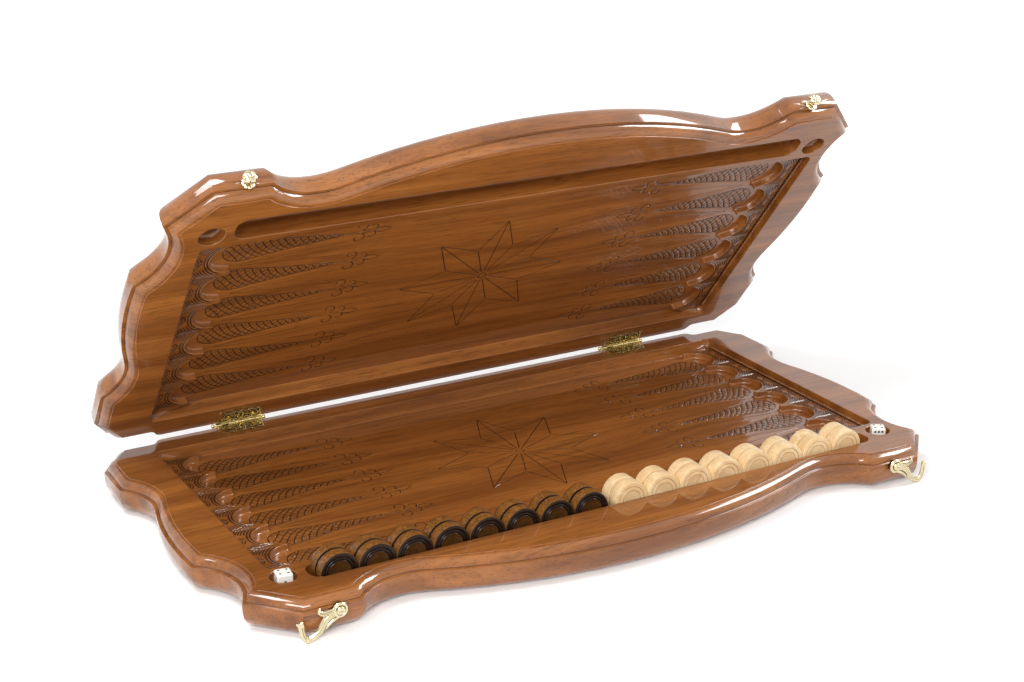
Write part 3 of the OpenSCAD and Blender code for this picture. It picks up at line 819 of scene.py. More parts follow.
def store_vectors(mesh, name, rows):
    """Stores a vector for every vertex under a name."""
    layer = mesh.attributes.new(name, "FLOAT_VECTOR", "POINT")
    layer.data.foreach_set("vector", np.ascontiguousarray(rows, np.float32).ravel())


# Where each half's own grain starts
GRAIN = {"base": (0.0, 0.0, 0.0), "lid": (0.9, 0.37, 0.21)}


def wooden(name, bm, half, nodes=()):
    """Turns a bmesh of a rim-up half into a wooden piece, with the grain's own place in the wood."""
    mesh = plain_mesh(name, bm)
    store_vectors(mesh, "place", vectors(mesh.vertices, "co") + np.array(GRAIN[half], np.float32))
    return piece(name, mesh, lacquered_walnut(), HALVES[half], half, nodes, bool(nodes))


def mark_hollows(mesh, strength, rounds):
    """Stores how hollow the surface is at each vertex, from 0 to 1, under the name carved."""
    count = len(mesh.vertices)
    place, normal = vectors(mesh.vertices, "co"), vectors(mesh.vertex_normals, "vector")
    ends = np.zeros(len(mesh.edges) * 2, np.int32)
    mesh.edges.foreach_get("vertices", ends)
    a, b = ends.reshape(-1, 2).T
    step = place[b] - place[a]
    room = np.maximum((step * step).sum(1), 1e-9)
    near = np.maximum(np.bincount(a, minlength=count) + np.bincount(b, minlength=count), 1)

    def gathered(at_a, at_b):
        return (np.bincount(a, at_a, count) + np.bincount(b, at_b, count)) / near

    bend = gathered((normal[a] * step).sum(1) / room, -(normal[b] * step).sum(1) / room)
    for _ in range(rounds):
        bend = (bend + gathered(bend[b], bend[a])) / 2
    layer = mesh.attributes.new("carved", "FLOAT", "POINT")
    layer.data.foreach_set("value", np.clip(bend * strength, 0, 1).astype(np.float32))


def piece(name, mesh, material, place, body, nodes=(), weighted=False):
    """Makes an object of a mesh, put in place and shaded, attaches it to its body's empty and hides the
    nodes it replaces.
    """
    if place is not None:
        mesh.transform(place)
        if place.determinant() < 0:
            mesh.flip_normals()
    mesh.materials.clear()
    mesh.materials.append(material)
    mesh.shade_smooth()
    mesh.set_sharp_from_angle(angle=SHARP)
    obj = bpy.data.objects.new(name, mesh)
    bpy.context.scene.collection.objects.link(obj)
    if weighted:
        obj.modifiers.new("Weighted normals", "WEIGHTED_NORMAL").keep_sharp = True
        apply_modifiers(obj)
    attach(obj, body)
    if nodes:
        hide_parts(*nodes)
    return obj


def apply_modifiers(obj):
    """Replaces an object's mesh by the result of its modifiers."""
    bpy.context.view_layer.update()
    seen = obj.evaluated_get(bpy.context.evaluated_depsgraph_get())
    mesh = bpy.data.meshes.new_from_object(seen)
    obj.modifiers.clear()
    obj.data = mesh


def tube(bm, path, halves, sides=14):
    """A closed tube with an oval section: path points, and half widths in the plan and across it."""
    path = [Vector(p) for p in path]
    rows = []
    for i, (p, (wide, deep)) in enumerate(zip(path, halves)):
        ahead = (path[min(i + 1, len(path) - 1)] - path[max(i - 1, 0)]).normalized()
        across = ahead.cross(Vector((0, 0, 1))).normalized()
        up = across.cross(ahead)
        turns = [2 * math.pi * k / sides for k in range(sides)]
        rows.append([bm.verts.new(p + across * float(wide * math.cos(a)) + up * float(deep * math.sin(a)))
                     for a in turns])
    for low, high in zip(rows, rows[1:]):
        for i in range(sides):
            bm.faces.new([low[i], high[i], high[i - 1], low[i - 1]])
    bm.faces.new(rows[0])
    bm.faces.new(rows[-1][::-1])


def smooth_path(points, steps):
    """A smooth curve through points, as a list of points."""
    p = np.array(points, float)
    ends = np.concatenate([[2 * p[0] - p[1]], p, [2 * p[-1] - p[-2]]])
    curve = []
    for a, b, c, d in zip(ends, ends[1:], ends[2:], ends[3:]):
        for t in np.linspace(0, 1, steps, endpoint=False):
            curve.append(0.5 * (2 * b + (c - a) * t + (2 * a - 5 * b + 4 * c - d) * t**2
                                + (3 * b - a - 3 * c + d) * t**3))
    curve.append(p[-1])
    return np.array(curve)


# Geometry Nodes: rows of turned shapes


def turned_tree(name, profile):
    """A tree that turns a profile round an axis and repeats it in a row.

    The profile is a list of (radius, height) shares from the bottom of the axis to its top.
    """
    tree = bpy.data.node_groups.new(name, "GeometryNodeTree")
    for label, kind in (("Radius", "NodeSocketFloat"), ("Length", "NodeSocketFloat"),
                        ("Segments", "NodeSocketInt"), ("Count", "NodeSocketInt"),
                        ("Pitch", "NodeSocketVector"), ("Turn", "NodeSocketRotation"),
                        ("Material", "NodeSocketMaterial")):
        tree.interface.new_socket(label, in_out="INPUT", socket_type=kind)
    tree.interface.new_socket("Geometry", in_out="OUTPUT", socket_type="NodeSocketGeometry")
    given, out = tree.nodes.new("NodeGroupInput"), tree.nodes.new("NodeGroupOutput")
    columns = maths(tree, "ADD", given.outputs["Segments"], 1.0)
    grid = put(tree, "GeometryNodeMeshGrid",
               {"Size X": 1.0, "Size Y": 1.0, "Vertices X": columns, "Vertices Y": len(profile)})
    where = put(tree, "ShaderNodeSeparateXYZ", {0: tree.nodes.new("GeometryNodeInputPosition").outputs[0]})
    angle = maths(tree, "MULTIPLY", where.outputs["X"], 2 * math.pi)
    share = maths(tree, "ADD", where.outputs["Y"], 0.5)
    sizes = []
    for column, size in ((0, "Radius"), (1, "Length")):
        curve = put(tree, "ShaderNodeFloatCurve", {"Value": share})
        line = curve.mapping.curves[0]
        last = len(profile) - 1
        for i in range(1, last):
            line.points.new(i / last, profile[i][column])
        line.points[0].location = (0, profile[0][column])
        line.points[last].location = (1, profile[last][column])
        for point in line.points:
            point.handle_type = "VECTOR"
        curve.mapping.update()
        sizes.append(maths(tree, "MULTIPLY", curve.outputs[0], given.outputs[size]))
    spot = put(tree, "ShaderNodeCombineXYZ",
               {0: maths(tree, "MULTIPLY", maths(tree, "COSINE", angle), sizes[0]),
                1: maths(tree, "MULTIPLY", maths(tree, "SINE", angle), sizes[0]), 2: sizes[1]})
    solid = put(tree, "GeometryNodeSetPosition",
                {"Geometry": grid.outputs["Mesh"], "Position": spot.outputs[0]})
    closed = put(tree, "GeometryNodeMergeByDistance", {"Geometry": solid.outputs[0], "Distance": WELD})
    marked = put(tree, "GeometryNodeStoreNamedAttribute",
                 {"Geometry": closed.outputs[0], "Name": "turned",
                  "Value": tree.nodes.new("GeometryNodeInputPosition").outputs[0]},
                 data_type="FLOAT_VECTOR", domain="POINT")
    row = put(tree, "GeometryNodeMeshLine",
              {"Count": given.outputs["Count"], "Offset": given.outputs["Pitch"]})
    set_out = put(tree, "GeometryNodeInstanceOnPoints",
                  {"Points": row.outputs[0], "Instance": marked.outputs[0],
                   "Rotation": given.outputs["Turn"]})
    real = put(tree, "GeometryNodeRealizeInstances", {0: set_out.outputs[0]})
    dressed = put(tree, "GeometryNodeSetMaterial",
                  {"Geometry": real.outputs[0], "Material": given.outputs["Material"]})
    tree.links.new(dressed.outputs[0], out.inputs["Geometry"])
    return tree


def turned_row(tree, **values):
    """The mesh that a turned tree makes with these inputs."""
    carrier = bpy.data.objects.new("turning", bpy.data.meshes.new("turning"))
    bpy.context.scene.collection.objects.link(carrier)
    modifier = carrier.modifiers.new("Turned row", "NODES")
    modifier.node_group = tree
    for item in tree.interface.items_tree:
        if item.in_out == "INPUT":
            modifier[item.identifier] = values[item.name]
    apply_modifiers(carrier)
    mesh = carrier.data
    bpy.data.objects.remove(carrier)
    return mesh


# Carving, with its plan in millimetres about the middle of a field

CUP_X = 227.75
FIELD_END = 258.0
FIELD_HALF_D = 113.75
# Least distance of a carved line from the long walls, in the field and on the end strips
FIELD_CLEAR = 8.0
STRIP_CLEAR = 2.0
# Half widths of a carved point at distances from its head
POINT_LEN = 93.0
POINT_U = (0, 0.5, 1.5, 3.6, 7.6, 13.0, 20.0, 30.6, 50.6, 70.6, 90.6, POINT_LEN)
POINT_W = (0, 3.2, 5.4, 8.2, 11.0, 12.6, 12.1, 9.9, 6.5, 3.7, 1.2, 0.8)
# Net on a point: first foot, step, count, slope and sag of its lines
NET_START = 4.6
NET_STEP = 5.5
NET_COUNT = 16
NET_SLOPE = 0.78
NET_SAG = 0.2
# Lines beside a point's axis, each with its share of the line width: scrolls, stems, and a seam beside it
POINT_CURLS = [
    (((104.2, 7.0), 5.5, -80, 300, 0.45, 24), 0.85),
    (((114.3, 4.7), 3.9, -90, 250, 0.6, 18), 0.8),
]
POINT_STEMS = [
    ([(92, 0.5), (98, 0.6), (105.2, 1.6)], 0.7),
    ([(105.2, 1.5), (110, 1.1), (114.3, 0.8)], 0.7),
    ([(115.5, 0.5), (119, 2.4), (122.5, 3.0), (126, 1.8), (129.6, 0.1)], 0.8),
]
POINT_SEAM = ([(14.5, 17.3), (98, 9.6)], 0.5)
# A darker ground on the points and on the end strips, and how far carved lines narrow at their ends
POINT_TONE = 0.10
STRIP_TONE = 0.08
POINT_FADE = 1.2
STRIP_FADE = 0.9
# Star: the radius of its hub, the share of that in the hub's notches, the share of the line width, its fade
STAR_HUB = 5.0
STAR_HUB_NOTCH = 0.55
STAR_LINE = 0.75
STAR_FADE = 1.5
# Lines round a cup: their distance from it, and how far they reach to each side in degrees
CUP_LINES = ((1.9, 66), (4.0, 58))
CUP_LINE_STEPS = 26
# The axis of a fan, from end to end
FAN_AXIS = (231.5, 252.5)
# Shares of the darkening left on lines along the grain, where the painted shade in a groove is lighter
FIELD_LEAN = 0.7
STRIP_LEAN = 0.75
# Strokes of a fan beside a lobe's axis on the end strips, in millimetres
FAN = [
    [(240.2, 0.5), (243.0, 2.2), (246.0, 5.8), (248.3, 10.2)],
    [(242.6, 0.5), (245.6, 2.4), (248.4, 5.6), (250.2, 9.2)],
    [(245.0, 0.5), (248.0, 2.2), (250.4, 5.0), (252.0, 8.0)],
    [(247.4, 0.5), (250.0, 1.8), (252.2, 4.2), (253.3, 6.6)],
    [(249.8, 0.4), (252.0, 1.4), (253.5, 3.2)],
]
# Strokes of a bud between two fans
BUD = [
    [(249.4, 0.0), (250.9, 3.0), (252.8, 5.4)],
    [(251.4, 0.0), (252.6, 2.2), (253.5, 3.8)],
]
# Painted shade under the rope on the end strips, which stands for the shade between its beads: its two
# edges and its half length
ROPE_BAND = (254.3, 257.85, 107.0)
# Strength of the painted shade under the rope
ROPE_TONE = 0.8


def on_point(u, s):
    """Plan places on a point, at distances u from its head and shares s of its half width."""
    return np.stack([u, s * np.interp(u, POINT_U, POINT_W)], 1)


def curl(centre, radius, start, sweep, shrink, steps):
    """A scroll: part of a spiral about a centre, from a start angle in degrees."""
    share = np.linspace(0, 1, steps)
    turn = np.radians(start + sweep * share)
    reach = radius * (1 - (1 - shrink) * share)
    return np.stack([centre[0] + reach * np.cos(turn), centre[1] + reach * np.sin(turn)], 1)


def point_lines():
    """The lines of one carved point, with its head at u = 0, as (line, share of the line width)."""
    u = POINT_LEN * np.linspace(0, 1, 40) ** 1.9
    outline = np.concatenate([on_point(u, np.ones(len(u)))[::-1], on_point(u, -np.ones(len(u)))[1:]])
    lines = [(outline, 0.95)]
    s = np.linspace(-1, 1, 11)
    for lean, share in ((1, 0.85), (-1, 0.62)):
        for k in range(NET_COUNT):
            foot = NET_START + NET_STEP * k
            wide = np.interp(foot, POINT_U, POINT_W)
            reach = foot + wide * (NET_SLOPE * lean * s + NET_SAG * s**2)
            lines.append((on_point(np.clip(reach, 0.3, POINT_LEN - 1), s), share))
    for side in (-1, 1):
        flip = np.array([1.0, side])
        lines.extend((curl(*shape) * flip, share) for shape, share in POINT_CURLS)
        lines.extend((smooth_path(path, 4) * flip, share) for path, share in POINT_STEMS)
        seam, share = POINT_SEAM
        lines.append((np.array(seam) * flip, share))
    return lines


def point_patch():
    """The outline of one carved point, with its head at u = 0."""
    u = np.linspace(0, POINT_LEN, 25)
    far, near = on_point(u, np.ones(len(u))), on_point(u, -np.ones(len(u)))
    return np.concatenate([far, near[::-1]])


def star_lines(tip, notch):
    """The lines of an eight-pointed star about the origin, in millimetres."""
    def spot(radius, eighths):
        turn = eighths * math.pi / 4
        return np.array([radius * math.cos(turn), radius * math.sin(turn)])

    lines = []
    for k in range(8):
        for side in (-0.5, 0.5):
            lines.append(np.array([spot(tip, k), spot(notch, k + side)]))
        lines.append(np.array([spot(STAR_HUB, k), spot(tip, k)]))
        lines.append(np.array([spot(STAR_HUB, k + 0.5), spot(notch, k + 0.5)]))
        inner = spot(STAR_HUB * STAR_HUB_NOTCH, k + 0.5)
        lines.append(np.array([spot(STAR_HUB, k), inner, spot(STAR_HUB, k + 1)]))
    return lines


def field_features(middle):
    """Everything carved in a field about its middle: the points at each end and a star."""
    sizes = bpy.context.scene.board_carving
    width, depth = sizes.line / MM, sizes.cut / MM
    features = []
    for i in range(sizes.points):
        head = (-sizes.head / MM, (i - (sizes.points - 1) / 2) * sizes.pitch / MM)
        for turn in (1, -1):
            features.append(DarkPatch(middle + turn * (point_patch() + head), POINT_TONE, False))
            for line, share in point_lines():
                if np.abs(line[:, 1] + head[1]).max() < FIELD_HALF_D - FIELD_CLEAR:
                    features.append(Groove(middle + turn * (line + head), width * share, depth * share,
                                           POINT_FADE, FIELD_LEAN))
    for line in star_lines(sizes.star / MM, sizes.star_notch / MM):
        features.append(Groove(middle + line, width * STAR_LINE, depth * STAR_LINE, STAR_FADE, FIELD_LEAN))
    return features


def strip_features(middle, end):
    """The carving of an end strip: lines round each cup, fans between them, painted shade under the rope.
    """
    sizes = bpy.context.scene.board_carving
    width, depth, cup, pitch = [value / MM for value in (sizes.line, sizes.cut, sizes.cup, sizes.pitch)]
    lines = []
    for i in range(sizes.points):
        y = (i - (sizes.points - 1) / 2) * pitch
        for gap, reach in CUP_LINES:
            turn = np.radians(np.linspace(-reach, reach, CUP_LINE_STEPS))
            ring = np.stack([np.cos(turn), np.sin(turn)], 1)
            lines.append((ring * (cup + gap) + (CUP_X, y), 1.15))
        for side in (-1, 1):
            lines.extend((smooth_path(stroke, 4) * (1, side) + (0, y), 0.95) for stroke in BUD)
    for i in range(sizes.points + 1):
        y = (i - sizes.points / 2) * pitch
        lines.append((np.array([(x, y) for x in FAN_AXIS]), 0.7))
        for side in (-1, 1):
            lines.extend((smooth_path(stroke, 4) * (1, side) + (0, y), 1.0) for stroke in FAN)
    near, far, half = ROPE_BAND
    band = np.array([(near, -half), (far, -half), (far, half), (near, half)])
    # A band of painted shade under the rope, where shade falls between its beads
    features = [DarkPatch(middle + end * band, ROPE_TONE, True)]
    for line, share in lines:
        if np.abs(line[:, 1]).max() < FIELD_HALF_D - STRIP_CLEAR:
            features.append(
                Groove(middle + end * line, width * share, depth * share, STRIP_FADE, STRIP_LEAN))
    return features


# Halves

# Quirks of the outer edge: depth below the rim, how far their line of painted shade reaches up and down,
# its tone
QUIRKS = ((0.8, 0.2, 0.05, 0.15), (6.8, 0.35, 0.042, 0.6))
# The ledge below them and its rounding
EASED_DEPTH = 7.1
EASED = 0.4
# The outer edge is plain this near to the hinge
PLAIN_EDGE = 7.25
# Width of the band round the underside
UNDERSIDE_BAND = 0.8
# The hollow at the foot of the walls grows over these distances from the middle, towards the cups
CUP_GROWS = (205, 225)
CUP_ENDS = (102, 105)
FOOT_STEPS = 6
# Hollows at the foot of the racks and of the die holes
RACK_FOOT = {"base": 0.5, "lid": 3.0}
HOLE_FOOT = {"base": 0.8, "lid": 2.5}
# Painted shade on the floors of the racks and of the die holes
RACK_TONE = {"base": 0.2, "lid": 0.0}
HOLE_TONE = 0.3


def line_mouldings(bm):
    """Paints a thin line of shade along the two quirks of the outer edge, where shade falls in the corners,
    and eases the edge below them.
    """
    carved = bm.verts.layers.float["carved"]
    lowest = min(bm.faces, key=lambda f: f.calc_center_median().z)
    plain_y = max(v.co.y for v in bm.verts) - PLAIN_EDGE * MM
    for depth, above, below, tone in QUIRKS:
        level = RIM_Z - depth * MM
        for v in {v for f in joined_to(lowest) for v in f.verts}:
            if abs(v.co.z - level) < LEVEL_TOL and v.co.y < plain_y:
                # Painted shade in the corner of the quirk
                v[carved] = tone
        for shift in (above, -below):
            parts = dict.fromkeys(part for f in joined_to(lowest) for part in (f, *f.edges, *f.verts))
            cut = bmesh.ops.bisect_plane(bm, geom=list(parts), dist=WELD, plane_no=(0, 0, 1),
                                         plane_co=(0, 0, level + shift * MM))
            for part in cut["geom_cut"]:
                if isinstance(part, bmesh.types.BMVert):
                    part[carved] = 0.0
    eased_z = RIM_Z - EASED_DEPTH * MM
    edges = [e for e in bm.edges if len(e.link_faces) == 2 and e.calc_face_angle() > SHARP
             and all(abs(v.co.z - eased_z) < LEVEL_TOL and v.co.y < plain_y for v in e.verts)]
    bmesh.ops.bevel(bm, geom=edges, offset=EASED * MM, segments=2, profile=0.5, affect="EDGES",
                    clamp_overlap=True)


def flatten_underside(bm):
    """Fills the level underside anew inside a narrow band, so that it shades flat up to its edge."""
    level = min(v.co.z for v in bm.verts) + LEVEL_TOL
    bmesh.ops.remove_doubles(bm, verts=[v for v in bm.verts if v.co.z < level], dist=LEVEL_TOL)
    under = [f for f in bm.faces if all(v.co.z < level for v in f.verts)]
    whole = bmesh.ops.dissolve_faces(bm, faces=under, use_verts=False)["region"]
    bmesh.ops.inset_region(bm, faces=whole, thickness=UNDERSIDE_BAND * MM, use_even_offset=True)
    bmesh.ops.triangulate(bm, faces=whole)


def carve_half(half, place):
    """One half of the board: the solid's outside and walls, with rounded edges and carved levels."""
    sizes = bpy.context.scene.board_carving
    node = f"{half}_board"
    bm = bmesh.new()
    bm.from_mesh(frame["nodes"][node].data)
    bmesh.ops.remove_doubles(bm, verts=bm.verts[:], dist=WELD)
    bm.transform(place.inverted())
    if place.determinant() < 0:
        bmesh.ops.reverse_faces(bm, faces=bm.faces[:])
    bm.normal_update()
    bm.verts.layers.float.new("carved")
    flatten_underside(bm)
    depths = (0.0, sizes.strip_depth, sizes.field_depth, sizes.rack_depth, sizes.hole_depth)
    levels = [level_faces(bm, RIM_Z - depth) for depth in depths]
    rims, strips, fields, racks, holes = [outline_loops(faces) for faces in levels]
    bmesh.ops.delete(bm, geom=[f for faces in levels for f in faces], context="FACES_ONLY")
    bmesh.ops.delete(bm, geom=[e for e in bm.edges if e.is_wire], context="EDGES")
    line_mouldings(bm)
    plan = np.concatenate([plan_of(c) for c in fields]) / MM
    middle = (plan.min(0) + plan.max(0)) / 2
    floors = []
    for chain in fields:
        out = np.abs(plan_of(chain) / MM - middle)
        cup = np.interp(out[:, 0], CUP_GROWS, (0, 1)) * np.interp(out[:, 1], CUP_ENDS, (1, 0))
        feet = sizes.foot + cup * (sizes.cup_foot - sizes.foot)
        floors.append(roll_edge(bm, chain, feet, 1, None, FOOT_STEPS))
    fill_level(bm, floors, field_features(middle))
    strip_z = RIM_Z - sizes.strip_depth
    for chain in strips:
        falls = [all(w.co.z <= strip_z + LEVEL_TOL for f in v.link_faces for w in f.verts) for v in chain]
        edge = roll_edge(bm, chain, [sizes.arris] * len(chain), -1, falls)
        end = 1 if plan_of(chain)[:, 0].mean() > 0 else -1
        fill_level(bm, [edge], strip_features(middle, end), STRIP_TONE)
    # The floors of the racks and holes get their painted shade
    hollows = [(chain, RACK_FOOT[half], RACK_TONE[half]) for chain in racks]
    hollows += [(chain, HOLE_FOOT[half], HOLE_TONE) for chain in holes]
    for chain, foot, tone in hollows:
        fill_level(bm, [roll_edge(bm, chain, [foot * MM] * len(chain), 1)], (), tone)
    spread = [np.ptp(plan_of(c), axis=0).prod() for c in rims]
    edges = []
    for chain, area in zip(rims, spread):
        radius = sizes.rim_arris if area == max(spread) else sizes.arris
        edges.append(roll_edge(bm, chain, [radius] * len(chain), -1))
    fill_level(bm, edges)
    return wooden(f"{half}_carved_half", bm, half, [node])


class BOARD_OT_carve_halves(bpy.types.Operator):
    """Make the two carved halves"""

    bl_idname = "board.carve_halves"
    bl_label = "Carve halves"

    def execute(self, context):
        for half, place in HALVES.items():
            carve_half(half, place)
        return {"FINISHED"}


# Carved rope on the end strips: a bead's profile, pitch, radius, length and lean
ROPE_PROFILE = [(math.sin(a), 0.5 - math.cos(a) / 2) for a in np.linspace(0, math.pi, 7)]
ROPE_PITCH = 3.3
ROPE_R = 0.85
ROPE_LEN = 4.2
ROPE_LEAN = math.radians(38)
# The rope's axis before the end wall and above the strip, and the length left free of it
ROPE_INSET = 1.6
ROPE_LIFT = 0.1
ROPE_FREE = 12.0


class BOARD_OT_lay_ropes(bpy.types.Operator):
    """Lay the carved rope along the foot of each end wall"""

    bl_idname = "board.lay_ropes"
    bl_label = "Lay ropes"

    def execute(self, context):
        sizes = context.scene.board_carving
        tree = turned_tree("Rope bead", ROPE_PROFILE)
        count = int((2 * FIELD_HALF_D - ROPE_FREE) / ROPE_PITCH)
        floor = [v for v in frame["nodes"]["base_board"].data.vertices
                 if abs(v.co.z - RIM_Z + sizes.field_depth) < LEVEL_TOL]
        middle = (min(v.co.y for v in floor) + max(v.co.y for v in floor)) / 2
        for half in HALVES:
            bm = bmesh.new()
            for end in (-1, 1):
                mesh = turned_row(
                    tree, Radius=ROPE_R * MM, Length=ROPE_LEN * MM, Segments=10, Count=count,
                    Pitch=(0, ROPE_PITCH * MM, 0), Turn=(math.pi / 2, 0, ROPE_LEAN),
                    Material=lacquered_walnut())
                start = middle - ROPE_PITCH * MM * (count - 1) / 2
                start += ROPE_LEN / 2 * MM * math.cos(ROPE_LEAN)
                height = RIM_Z - sizes.strip_depth + ROPE_LIFT * MM
                mesh.transform(Matrix.Translation((end * (FIELD_END - ROPE_INSET) * MM, start, height)))
                bm.from_mesh(mesh)
            wooden(f"{half}_strip_ropes", bm, half)
        return {"FINISHED"}


# Hinges, with plans about the middle of the barrel: a leaf's free edge and side, and its knuckles
LEAF_FREE = [
    (15.0, -17.2), (12.6, -15.9), (9.6, -16.5), (6.6, -17.1), (4.2, -15.9), (1.8, -16.4), (0.0, -17.3)]
LEAF_SIDE = [(19.3, -2.0), (18.6, -6.0), (17.2, -10.0), (16.6, -13.6), (15.0, -17.2)]
KNUCKLE_PROFILE = [(0, 0), (0.82, 0), (0.94, 0.03), (1, 0.09), (1, 0.91), (0.94, 0.97), (0.82, 1), (0, 1)]
KNUCKLES = 7
KNUCKLE_GAP = 0.3
KNUCKLE_R = 1.6
LEAF_T = 1.2
# Raised lines: height, width, and how far the border line lies inside the edge
RELIEF = 0.45
RELIEF_W = 1.3
BORDER_INSET = 0.62
# Webs between leaf and knuckles: depth, distance from the barrel's axis, and how much thinner they are
WEB_D = 2.8
WEB_Y = 1.5
WEB_LESS = 0.1
# Bright part of the leaf beside the barrel
BARREL_SIDE = 1.7
LEAF_CURLS = [((11.6, -6.6), 3.4, 110, -420, 0.2, 30), ((5.6, -11.2), 3.1, -60, 400, 0.22, 30)]
LEAF_STEMS = [
    ([(15.2, -6.0), (14.9, -10.0), (12.4, -13.2), (8.6, -12.6)], 1.0),
    ([(8.4, -4.6), (6.0, -5.6), (3.2, -4.8), (1.0, -3.4)], 0.9),
    ([(0.3, -14.6), (2.2, -10.6), (2.0, -7.4), (0.3, -4.6)], 0.9),
]


def leaf_outline():
    """Plan of a hinge leaf about the middle of its barrel, anticlockwise, in millimetres."""
    right = np.concatenate([smooth_path(LEAF_SIDE, 3)[:-1], smooth_path(LEAF_FREE, 3)])
    left = right[::-1][1:] * (-1, 1)
    return np.concatenate([right, left])[::-1]


def leaf_relief():
    """Raised lines of a hinge leaf: border, two scrolls a side and a middle leaf, in millimetres."""
    outline = leaf_outline()
    border = outline + BORDER_INSET * mitres(outline)
    lines = [(np.concatenate([border, border[:1]]), 1.15)]
    for side in (-1, 1):
        flip = np.array([side, 1.0])
        lines.extend((curl(*shape) * flip, 1.0) for shape in LEAF_CURLS)
        lines.extend((smooth_path(path, 5) * flip, share) for path, share in LEAF_STEMS)
    return [Groove(line, RELIEF_W * share, -RELIEF * share) for line, share in lines]


def hinge_leaf(half, place, side, first, tree):
    """One hinge leaf with its relief and its knuckles."""
    node = f"{half}_hinge_leaf_{side}"
    low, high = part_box(f"base_hinge_leaf_{side}")
    centre = (low.x + high.x) / 2
    length = (high.x - low.x) / MM
    top = low.z / MM + LEAF_T
    bm = bmesh.new()
    bm.verts.layers.float.new("carved")
    rows = []
    for z in (top - LEAF_T, top - RELIEF):
        rows.append([bm.verts.new((x * MM, y * MM, z * MM)) for x, y in leaf_outline()])
    for i in range(len(rows[0])):
        bm.faces.new([rows[0][i - 1], rows[0][i], rows[1][i], rows[1][i - 1]])
    bm.faces.new(rows[0][::-1])
    fill_level(bm, [rows[1]], leaf_relief())
    knuckle = (length - (KNUCKLES - 1) * KNUCKLE_GAP) / KNUCKLES
    starts = [i * (knuckle + KNUCKLE_GAP) - length / 2 for i in range(first, KNUCKLES, 2)]
    for x in starts:
        web = bmesh.ops.create_cube(bm, size=1.0)["verts"]
        shape = Matrix.Diagonal((knuckle * MM, WEB_D * MM, (LEAF_T - WEB_LESS) * MM, 1))
        seat = Matrix.Translation(((x + knuckle / 2) * MM, -WEB_Y * MM, (top - LEAF_T / 2) * MM))
        bmesh.ops.transform(bm, matrix=seat @ shape, verts=web)
    carved = bm.verts.layers.float["carved"]
    for v in bm.verts:
        if v.co.y > -BARREL_SIDE * MM:
            v[carved] = 1.0
    mesh = turned_row(
        tree, Radius=KNUCKLE_R * MM, Length=knuckle * MM, Segments=28, Count=len(starts),
        Pitch=(2 * (knuckle + KNUCKLE_GAP) * MM, 0, 0), Turn=(0, math.pi / 2, 0), Material=worn_brass())
    mesh.transform(Matrix.Translation((starts[0] * MM, 0, HINGE.z)))
    seam = len(bm.verts)
    bm.from_mesh(mesh)
    bm.verts.ensure_lookup_table()
    for v in bm.verts[seam:]:
        v[carved] = 1.0
    bm.normal_update()
    bmesh.ops.translate(bm, verts=bm.verts[:], vec=(centre, HINGE.y, 0))
    name = f"{node}_cast"
    piece(name, plain_mesh(name, bm), relief_brass(), place, half, [node])


class BOARD_OT_fit_hinges(bpy.types.Operator):
    """Fit the hinge leaves, and finish the pins and screws"""

    bl_idname = "board.fit_hinges"
    bl_label = "Fit hinges"

    def execute(self, context):
        tree = turned_tree("Knuckle", KNUCKLE_PROFILE)
        for first, (half, place) in enumerate(HALVES.items()):
            for side in SIDES:
                hinge_leaf(half, place, side, first, tree)
        for node in ("hinge_pin_left", "hinge_pin_right", "base_hinge_screws", "lid_hinge_screws"):
            finish_node(node, worn_brass())
        return {"FINISHED"}


def finish_node(node, material):
    """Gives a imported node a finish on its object's material slots."""
    for holder in frame["nodes"][node].material_slots:
        holder.material = material


def flat_place(side):
    """From a catch's own frame, facing out along +Z, to its place on a front flat of a rim-up half."""
    turn = Matrix.Rotation(math.pi / 2, 4, "X")
    mirror = Matrix.Scale(side, 4, (1, 0, 0))
    return Matrix.Translation((side * HOOK_PIVOT.x, FLAT_Y, HOOK_PIVOT.z)) @ mirror @ turn


# Hooks: distance from the flat, thickness, hanging angle, section of the eye, fusing and ball
HOOK_BACK = 2.1
HOOK_T = 2.4
HOOK_HANG = math.radians(-34)
HOOK_EYE = [(1.75, 0), (5.2, 0), (5.6, 0.8), (5.4, 1.7), (4.7, 2.4), (3.9, 2.5), (3.3, 2.0), (1.75, 1.7)]
HOOK_EYE_SIDES = 48
HOOK_VOXEL = 0.2
HOOK_BALL = 1.85
HOOK_TIP = (28.5, -0.5)
# Limbs of a hook: paths in its plane with half widths, in millimetres
HOOK_LIMBS = [
    ([(2, 0.6), (8, 2.0), (13.5, 1.2), (19, -1.3), (24, -1.6), HOOK_TIP], [3.6, 3.2, 2.6, 2.2, 2.2, 2.0]),
    ([(4.0, 2.2), (8.0, 5.0), (10.4, 7.6), (11.2, 9.6)], [2.8, 2.9, 2.1, 1.2]),
    ([(11.2, 9.0), (10.6, 11.0), (8.8, 12.0)], [1.2, 1.0, 0.4]),
    ([(11.2, 8.8), (12.0, 10.0), (12.2, 10.7)], [0.9, 0.7, 0.35]),
    ([(3.5, -2.6), (8.5, -2.0), (12.5, -2.2), (15.5, -3.2)], [1.5, 1.2, 1.1, 0.5]),
    ([(28.6, -0.5), (28.9, 3.0), (27.8, 7.2), (25.8, 11.2)], [2.0, 2.1, 2.0, 2.2]),
    ([(25.9, 10.6), (24.6, 12.6), (23.0, 13.6)], [1.9, 1.6, 0.6]),
    ([(25.8, 10.8), (26.2, 13.2), (27.2, 15.0)], [1.8, 1.5, 0.6]),
]
